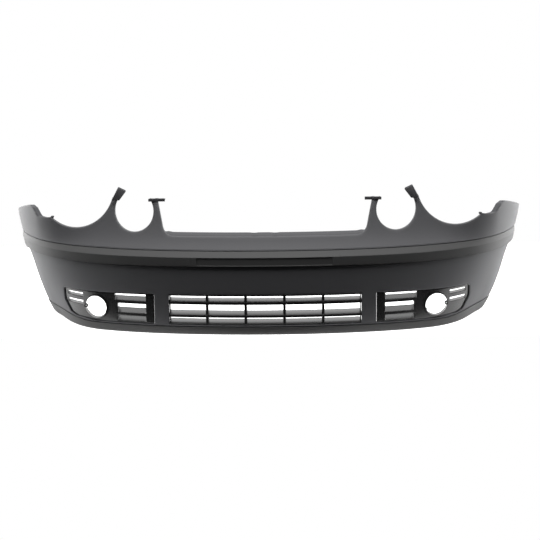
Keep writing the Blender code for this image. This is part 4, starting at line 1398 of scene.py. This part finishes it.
@dataclass
class BumpStrips:
    """The three protective strips, their studs and the clips that hold them."""

    cover: CoverShell
    wall: float = 0.0025
    gap: float = 0.0008
    face_top: float = 0.2332
    joint: float = 0.222
    butt_gap: float = 0.0002
    end_back: float = 0.012
    plate_half: float = 0.2010
    plate_depth: float = 0.0022
    centre_studs: tuple[float, ...] = (-0.17, -0.06, 0.06, 0.17)
    side_studs: tuple[float, ...] = (0.34, 0.56, 0.84)

    def stations(self, along: np.ndarray, recessed: bool) -> list[np.ndarray]:
        """The strip's section from its lower rear edge to its upper one."""
        skin, edge = self.cover.skin, self.cover.edge
        bottom = skin.strip_bottom + edge + self.gap
        top = skin.strip_seam - edge - self.gap
        x = np.interp(np.abs(along), skin.along, skin.plan_x)
        recess = self.plate_depth * (1 - smooth(self.plate_half - 0.0012, self.plate_half + 0.0004, x))
        recess = recess * recessed
        flat = 0 * recess
        corners = [(flat - 0.009, bottom, 0), (flat - 0.003, bottom, 0), (flat, bottom, 0.0012)]
        corners += [(flat, bottom + 0.0027, 0.0003), (-recess, bottom + 0.0032, 0.0003)]
        low, high = bottom + 0.0032, self.face_top - 0.002
        corners += [(-recess, low + (high - low) * share, 0) for share in (0.15, 0.4, 0.6, 0.85)]
        corners += [(-recess, high, 0.0003), (flat, self.face_top - 0.0013, 0.0003)]
        corners.append((flat - 0.0004, self.face_top, 0.0009))
        seam = skin.seam_out(along) - self.gap / 2
        corners += [(seam * share, self.face_top + (top - self.face_top) * share, 0)
                    for share in (0.3, 0.55, 0.8)]
        corners += [(seam, top, 0.0009), (seam - 0.0016, top - 0.0001, 0)]
        return rolled(corners, 3)

    def loft(self, name: str, places: np.ndarray, recessed: bool) -> bpy.types.Object:
        """One strip, standing for its frame node.

        Args:
            name: Its name after bump_strip_.
            places: Places along the curve that it is lofted through.
            recessed: Whether it carries the number plate's recess.

        Returns:
            The piece.
        """
        table = np.stack(self.stations(places, recessed))
        points = self.cover.skin.point(places, table[:, :, 0], table[:, :, 1])
        rows, columns = points.shape[:2]
        index = np.arange(rows * columns).reshape(rows, columns)
        quads = np.stack([index[:-1, :-1], index[:-1, 1:], index[1:, 1:], index[1:, :-1]], -1)
        made = mesh_object(f"strip_{name}", points.reshape(-1, 3), quads.reshape(-1, 4))
        thicken(made, self.wall - 0.0003)
        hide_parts(f"bump_strip_{name}")
        return dressed(made, GRAINED)

    def strips(self) -> None:
        """All three strips."""
        skin = self.cover.skin
        joint, plate = skin.at_x(self.joint), skin.at_x(self.plate_half)
        end = skin.at_y(skin.from_nose(skin.depth - self.end_back - 0.045))
        fine = np.linspace(plate - 0.002, plate + 0.0012, 9)
        middle = np.concatenate([[-joint], -fine[::-1], np.linspace(-plate + 0.004, plate - 0.004, 60),
                                 fine, [joint]])
        self.loft("centre", middle, True)
        side = np.linspace(joint + self.butt_gap, end, 120)
        self.loft("left", side, False)
        self.loft("right", -side[::-1], False)

    def stud_places(self) -> dict[str, list[float]]:
        """Where along the curve each strip's studs are."""
        skin = self.cover.skin
        left = [skin.at_x(x) if x < 0.6 else x for x in self.side_studs]
        return {"centre": [skin.at_x(x) for x in self.centre_studs], "left": left,
                "right": [-a for a in left]}

    def clips(self, tree: GeometryTree) -> None:
        """Push-on clips behind the channel, and the studs that they grip."""
        skin = self.cover.skin
        height = (skin.strip_bottom + self.face_top) / 2 + 0.003
        clip = [(0.0029, 0.0012), (0.0040, 0.0019), (0.0055, 0.0012), (0.0085, 0.0007),
                (0.0085, 0.0001), (0.0055, 0.0003), (0.0040, 0.0010), (0.0029, 0.0004)]
        stud = [(0, 0.0040), (0.0016, 0.0040), (0.0023, 0.0030), (0.0023, -0.0105), (0, -0.0105)]
        shapes = {"strip_clips": (CLIP_STEEL, clip, 0.001), "strip_studs": (GRAINED, stud, 0.001)}
        places = [a for group in self.stud_places().values() for a in group]
        nodes = [f"strip_clip_{name}_{i}" for name, group in self.stud_places().items()
                 for i in range(1, len(group) + 1)]
        for name, (finish, profile, gap) in shapes.items():
            points, turns = [], []
            for along in places:
                back = skin.seam_out(along) - self.cover.channel_depth - self.cover.wall - gap
                points.append(skin.vector(along, float(back), height))
                turns.append(Vector((-skin.outward(along))).to_track_quat("Z", "Y").to_euler())
            source = turned_source(f"{name}_source", profile)
            made = tree.bake(name, spots_object(points, turns), finish, {"Fixing": source})
            bpy.data.objects.remove(source)
            if name == "strip_clips":
                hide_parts(*nodes)
            dressed(made, finish)


@dataclass
class CentreGrille:
    """The centre opening's grille: slats and ribs in a thin frame."""

    cover: CoverShell
    gap: float = 0.0010
    setback: float = 0.004
    frame: float = 0.0030
    heights: tuple[float, ...] = (0.0975, 0.0585)
    slat: tuple[float, ...] = (0.0098, 0.0086)
    depths: tuple[float, ...] = (0.034, 0.040)
    rib: float = 0.0080
    rib_span: float = 0.172
    tilt: float = 0.20

    def path(self, half: float, z: float, depth: float) -> np.ndarray:
        """A level line through the middle of a slat.

        Args:
            half: Half its width.
            z: Its height.
            depth: The slat's depth.

        Returns:
            Its points, from right to left.
        """
        skin = self.cover.skin
        beyond = skin.at_x(half) * 1.1
        places = np.linspace(-beyond, beyond, 121)
        line = skin.point(places, skin.lower_out(places, z) - self.setback - depth / 2, z)
        x = np.linspace(-half, half, 49)
        return np.stack([x, np.interp(x, line[:, 0], line[:, 1]), np.full(49, z)], 1)

    def build(self, slats: GeometryTree, ribs: GeometryTree) -> None:
        """Builds the whole grille.

        Args:
            slats: The tree that sweeps a bar.
            ribs: The tree that places the ribs.
        """
        skin = self.cover.skin
        low = skin.lip_top_front + self.cover.wall + self.gap
        high = self.cover.opening_top - self.gap
        half = self.cover.centre_half - self.gap
        bars = [(z, h, d) for z, h, d in zip(self.heights, self.slat, self.depths)]
        bars += [(high - self.frame / 2, self.frame, 0.022),
                 (low + self.frame / 2 + 0.0045, self.frame, 0.044)]
        whole = None
        for i, (z, height, depth) in enumerate(bars):
            tilt = 0.0 if i == 2 else self.tilt
            made = slats.bake(f"grille_bar_{i + 1}", path_object(self.path(half, z, depth)), GRILLE_BLACK,
                              {"Depth": depth, "Height": height, "Corner": 0.0009, "Tilt": tilt})
            if whole is None:
                whole = made
                whole.name = "grille_slats"
                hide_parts("centre_grille")
            else:
                joined(whole, made)
        dressed(whole, GRILLE_BLACK)
        uprights = (("grille_ribs", self.rib_span, 4, self.rib, 0.030),
                    ("grille_cheeks", half - self.frame / 2, 2, self.frame, 0.034))
        for name, span, count, wide, depth in uprights:
            path = self.path(span, low, depth)
            path[:, 1] += 0.0015
            made = ribs.bake(name, path_object(path), GRILLE_BLACK,
                             {"Count": count, "Thickness": wide, "Depth": depth, "Height": high - low,
                              "Corner": 0.0009})
            dressed(made, GRILLE_BLACK)


@dataclass
class FogGrille:
    """A side grille: slats beside a fog lamp's collar."""

    cover: CoverShell
    side: Side
    gap: float = 0.0010
    setback: float = 0.0045
    centre: tuple[float, float] = (0.5135, 0.0690)
    radius: float = 0.0340
    collar: float = 0.0050
    wall: float = 0.0020
    frame: float = 0.0030
    slat: float = 0.0090
    heights: tuple[float, ...] = (0.0905, 0.0530)
    post: float = 0.027
    depths: tuple[float, ...] = (0.034, 0.038, 0.042)
    climb: float = 0.28
    collar_depth: float = 0.026
    collar_proud: float = 0.003

    def rows(self, low: float, high: float) -> list[tuple[float, float]]:
        """Foot and top of each gap between the slats."""
        edges = [high - self.frame]
        for height in self.heights:
            edges += [height + self.slat / 2, height - self.slat / 2]
        edges.append(low + self.frame)
        return list(zip(edges[1::2], edges[0::2]))

    def cuts(self) -> list[Cut]:
        """The gaps between the slats and the lamp's bore."""
        skin = self.cover.skin
        low = skin.lip_top_front + self.cover.wall + self.gap
        high = self.cover.opening_top - self.gap
        left = self.cover.centre_half + self.cover.pillar + self.post
        right = self.centre[0] - self.radius - self.collar - 0.022
        made = []
        for i, (foot, top) in enumerate(self.rows(low, high)):
            edge = right - (0.009 if i else 0)
            box = [(left, foot), (edge, foot), (edge, top), (left, top)]
            made.append(Cut(filleted(box, (0.0015,) * 4, 4), roll=0.0010, flange=self.depths[i],
                            rise=self.depths[i] * self.climb))
        beyond = self.centre[0] + self.radius + self.collar + 0.004
        for foot, top in self.rows(low, high - 0.006)[:2]:
            box = [(beyond, max(foot, 0.070)), (self.cover.side_end - 0.014, max(foot, 0.070)),
                   (self.cover.side_end - 0.014, top - 0.003), (beyond, top - 0.003)]
            made.append(Cut(filleted(box, (0.0015,) * 4, 4), roll=0.0010, flange=0.026, rise=0.003))
        made.append(Cut(circle(self.centre, self.radius, 96), roll=0.0012, flange=0.024))
        return made

    def stations(self, along: np.ndarray) -> list[np.ndarray]:
        """The grille's face, which follows the skin a little behind it."""
        skin = self.cover.skin
        heights = np.linspace(0.012, 0.132, 24)
        return rolled([(skin.lower_out(along, z) - self.setback, z, 0) for z in heights])

    def build(self, collars: GeometryTree) -> None:
        """Builds the grille and its collar.

        Args:
            collars: The tree that makes a collar.
        """
        skin = self.cover.skin
        section = Section(skin, self.stations)
        limit = [(x, z) for x, z in grown(self.cover.side_opening(), -self.gap)]
        inner = self.cover.centre_half + self.cover.pillar - 0.02
        moulding = Moulding(f"fog_grille_face_{self.side.label}", section, skin.at_x(inner),
                            skin.at_x(self.cover.side_end) + 0.05, self.wall, spacing=0.006,
                            cuts=self.cuts(), keep=Cut(limit, roll=0.0010, flange=0.020))
        points, faces = moulding.half_mesh()
        if self.side is Side.RIGHT:
            points, faces = points * (-1, 1, 1), faces[:, ::-1]
        made = mesh_object(moulding.name, points, faces)
        thicken(made, self.wall)
        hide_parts(f"fog_grille_{self.side.label}")
        dressed(made, GRILLE_BLACK)
        self.add_collar(collars)

    def add_collar(self, collars: GeometryTree) -> None:
        """The lamp's collar, a little proud of the face, with a rim that follows the skin."""
        skin = self.cover.skin
        along = skin.at_x(self.centre[0])
        depth = self.collar_depth
        middle = skin.point(along, skin.lower_out(along, self.centre[1]) - self.setback, self.centre[1])
        y = float(middle[1]) - self.collar_proud + depth / 2
        spot = spots_object([Vector((self.side.value * self.centre[0], y, self.centre[1]))], [Vector()])
        made = collars.bake(f"fog_collar_{self.side.label}", spot, GRILLE_BLACK,
                            {"Radius": self.radius + 0.0012, "Wall": 0.0034, "Depth": depth,
                             "Corner": 0.0009})
        for vertex in made.data.vertices:
            there = skin.at_x(abs(vertex.co.x))
            face = skin.point(there, skin.lower_out(there, self.centre[1]) - self.setback, self.centre[1])
            share = min(max((y + depth / 2 - vertex.co.y) / depth, 0.0), 1.0)
            vertex.co.y += share * float(face[1] - middle[1])
        self.add_lugs(y - depth / 2 + 0.004)
        dressed(made, GRILLE_BLACK)

    def add_lugs(self, y: float) -> None:
        """The lamp's adjuster boss at the outer side and the stop at the inner one.

        Args:
            y: How far back they stand.
        """
        x = self.side.value * (self.centre[0] + 0.0300)
        outer = Matrix.Translation((x, y + 0.010, self.centre[1] + 0.003))
        bm = bmesh.new()
        boss = [(0.0020, -0.0050), (0.0020, 0.0050), (0.0056, 0.0050), (0.0056, -0.0050)]
        add_turned(bm, boss, outer @ Matrix.Rotation(math.pi / 2, 4, "X"), 20)
        made = finished_mesh(f"fog_lugs_{self.side.label}", bm)
        bm = bmesh.new()
        x = self.side.value * (self.centre[0] - 0.0315)
        add_prism(bm, [(x - 0.0035, y), (x + 0.0035, y), (x + 0.0035, y + 0.012), (x - 0.0035, y + 0.012)],
                  self.centre[1] - 0.0175, self.centre[1] - 0.0125, 0.0005)
        joined(made, finished_mesh("stop", bm))
        dressed(made, GRILLE_BLACK)


@dataclass
class Fixings:
    """Push rivets under the lip and spring nuts on the wings."""

    cover: CoverShell
    inset: float = 0.022
    places: tuple[float, ...] = (-0.72, -0.48, -0.24, 0.0, 0.24, 0.48, 0.72)

    def rivets(self, tree: GeometryTree) -> None:
        """The rivets through the lip's foot."""
        skin = self.cover.skin
        base = self.cover.lip_wall + self.cover.lip_gap + self.cover.wall + 0.0003
        head = [(0, 0.0028), (0.0030, 0.0026), (0.0055, 0.0019), (0.0072, 0.0008), (0.0075, 0.0003),
                (0.0073, 0), (0.0030, 0)]
        profile = head + [(0.0030, 0.0009 - base), (0.0024, 0.0003 - base), (0, 0.0003 - base)]
        points = [skin.vector(a, float(skin.lower_out(a, 0)) - self.inset, base) for a in self.places]
        source = turned_source("rivet_source", profile)
        made = tree.bake("push_rivets", spots_object(points, [Vector()] * len(points)), NYLON,
                         {"Fixing": source})
        bpy.data.objects.remove(source)
        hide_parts(*[f"push_rivet_{i}" for i in range(1, len(self.places) + 1)])
        dressed(made, NYLON)

    def dress_nuts(self) -> None:
        """Gives the frame's spring nuts their steel finish."""
        for side in Side:
            for number in (1, 2):
                node = frame["nodes"][f"wing_nut_{side.label}_{number}"]
                node.data.materials.clear()
                node.data.materials.append(CLIP_STEEL.material)


@dataclass
class Studio:
    """Camera, floor and lights."""

    elevation: float = 10.0
    yaw: float = 1.37
    roll: float = 0.71
    distance: float = 5.0
    target: tuple[float, float, float] = (0.0, 0.01, 0.1458)
    focal_length: float = 106.93
    sideways: float = 0.00598

    def camera(self) -> None:
        """The camera, a little above the cover and close to square on."""
        a, e, r = (math.radians(v) for v in (self.yaw, self.elevation, self.roll))
        back = Vector((math.sin(a) * math.cos(e), -math.cos(a) * math.cos(e), math.sin(e)))
        right = Vector((math.cos(a), math.sin(a), 0))
        up = back.cross(right)
        right, up = right * math.cos(r) - up * math.sin(r), up * math.cos(r) + right * math.sin(r)
        data = bpy.data.cameras.new("camera")
        data.lens = self.focal_length
        data.shift_x = self.sideways
        made = bpy.data.objects.new("camera", data)
        made.matrix_world = Matrix.Translation(Vector(self.target) + back * self.distance) @ Matrix(
            (right, up, back)).transposed().to_4x4()
        bpy.context.scene.collection.objects.link(made)
        bpy.context.scene.camera = made

    def floor(self) -> None:
        """A plain pale floor."""
        bm = bmesh.new()
        add_prism(bm, [(-1.5, -0.286), (1.5, -0.286), (1.5, 1.4), (-1.5, 1.4)], -0.004, 0.0, 0.001)
        made = finished_mesh("floor", bm)
        pale = bpy.data.materials.new("floor")
        pale.use_nodes = True
        shader = pale.node_tree.nodes["Principled BSDF"]
        shader.inputs["Base Color"].default_value = (0.9, 0.9, 0.9, 1)
        shader.inputs["Roughness"].default_value = 0.9
        shader.inputs["Specular IOR Level"].default_value = 0.0
        shader.inputs["Emission Color"].default_value = (1, 1, 1, 1)
        shader.inputs["Emission Strength"].default_value = 0.86
        made.data.materials.append(pale)

    @staticmethod
    def softbox(name: str, place: Sequence[float], aim: Sequence[float], size: tuple[float, float],
                power: float) -> None:
        """A rectangular area light.

        Args:
            name: Its name.
            place: Where it stands.
            aim: What it points at.
            size: Its width and height.
            power: Its power in watts.
        """
        data = bpy.data.lights.new(name, "AREA")
        data.shape = "RECTANGLE"
        data.size, data.size_y = size
        data.energy = power
        made = bpy.data.objects.new(name, data)
        made.location = place
        made.rotation_euler = (Vector(place) - Vector(aim)).to_track_quat("Z", "Y").to_euler()
        bpy.context.scene.collection.objects.link(made)

    def lights(self) -> None:
        """Broad softboxes beside, above and behind the cover, and a pale surround darker in front."""
        self.softbox("overhead", (0, -0.75, 2.2), (0, -0.2, 0.2), (3.4, 1.3), 88)
        self.softbox("behind", (0, 2.7, 1.9), (0, 0, 0.2), (4.2, 1.5), 20)
        for side in (-1, 1):
            self.softbox("beside", (side * 2.4, 1.75, 0.6), (side * 0.7, 0.1, 0.2), (1.3, 1.8), 84)
        world = bpy.data.worlds.new("surround")
        world.use_nodes = True
        nodes, links = world.node_tree.nodes, world.node_tree.links
        backdrop = nodes["Background"]
        backdrop.inputs["Strength"].default_value = 1.0
        surround = nodes.new("ShaderNodeBackground")
        surround.inputs["Strength"].default_value = 1.0
        place = nodes.new("ShaderNodeTexCoord")
        split = nodes.new("ShaderNodeSeparateXYZ")
        links.new(place.outputs["Generated"], split.inputs[0])
        level = nodes.new("ShaderNodeMapRange")
        level.interpolation_type = "SMOOTHSTEP"
        level.inputs["From Min"].default_value = -0.30
        level.inputs["From Max"].default_value = 0.80
        level.inputs["To Min"].default_value = 0.055
        level.inputs["To Max"].default_value = 1.0
        links.new(split.outputs["Y"], level.inputs["Value"])
        links.new(level.outputs[0], surround.inputs["Color"])
        backdrop.inputs["Color"].default_value = (1, 1, 1, 1)
        choose = nodes.new("ShaderNodeMixShader")
        seen = nodes.new("ShaderNodeLightPath")
        links.new(seen.outputs["Is Camera Ray"], choose.inputs[0])
        links.new(surround.outputs[0], choose.inputs[1])
        links.new(backdrop.outputs[0], choose.inputs[2])
        links.new(choose.outputs[0], nodes["World Output"].inputs["Surface"])
        bpy.context.scene.world = world
        bpy.context.scene.view_settings.view_transform = "Standard"


def main() -> None:
    """Builds every sub-assembly in order, then the studio."""
    logging.basicConfig(level=logging.INFO, format="%(name)s: %(message)s")
    studio = Studio()
    studio.camera()
    cover = CoverShell(Skin())
    LOG.info("cover shell: %d faces", len(cover.shell().data.polygons))
    cover.tabs()
    for side in Side:
        lamp_tab(cover, side)
    LOG.info("lower lip: %d faces", len(LowerLip(cover).piece().data.polygons))
    strips, fixing = BumpStrips(cover), fixing_tree()
    strips.strips()
    strips.clips(fixing)
    CentreGrille(cover).build(slat_tree(), rib_tree())
    collars = collar_tree()
    for side in Side:
        FogGrille(cover, side).build(collars)
    fixings = Fixings(cover)
    fixings.rivets(fixing)
    fixings.dress_nuts()
    studio.floor()
    studio.lights()


if __name__ == "__main__":
    main()
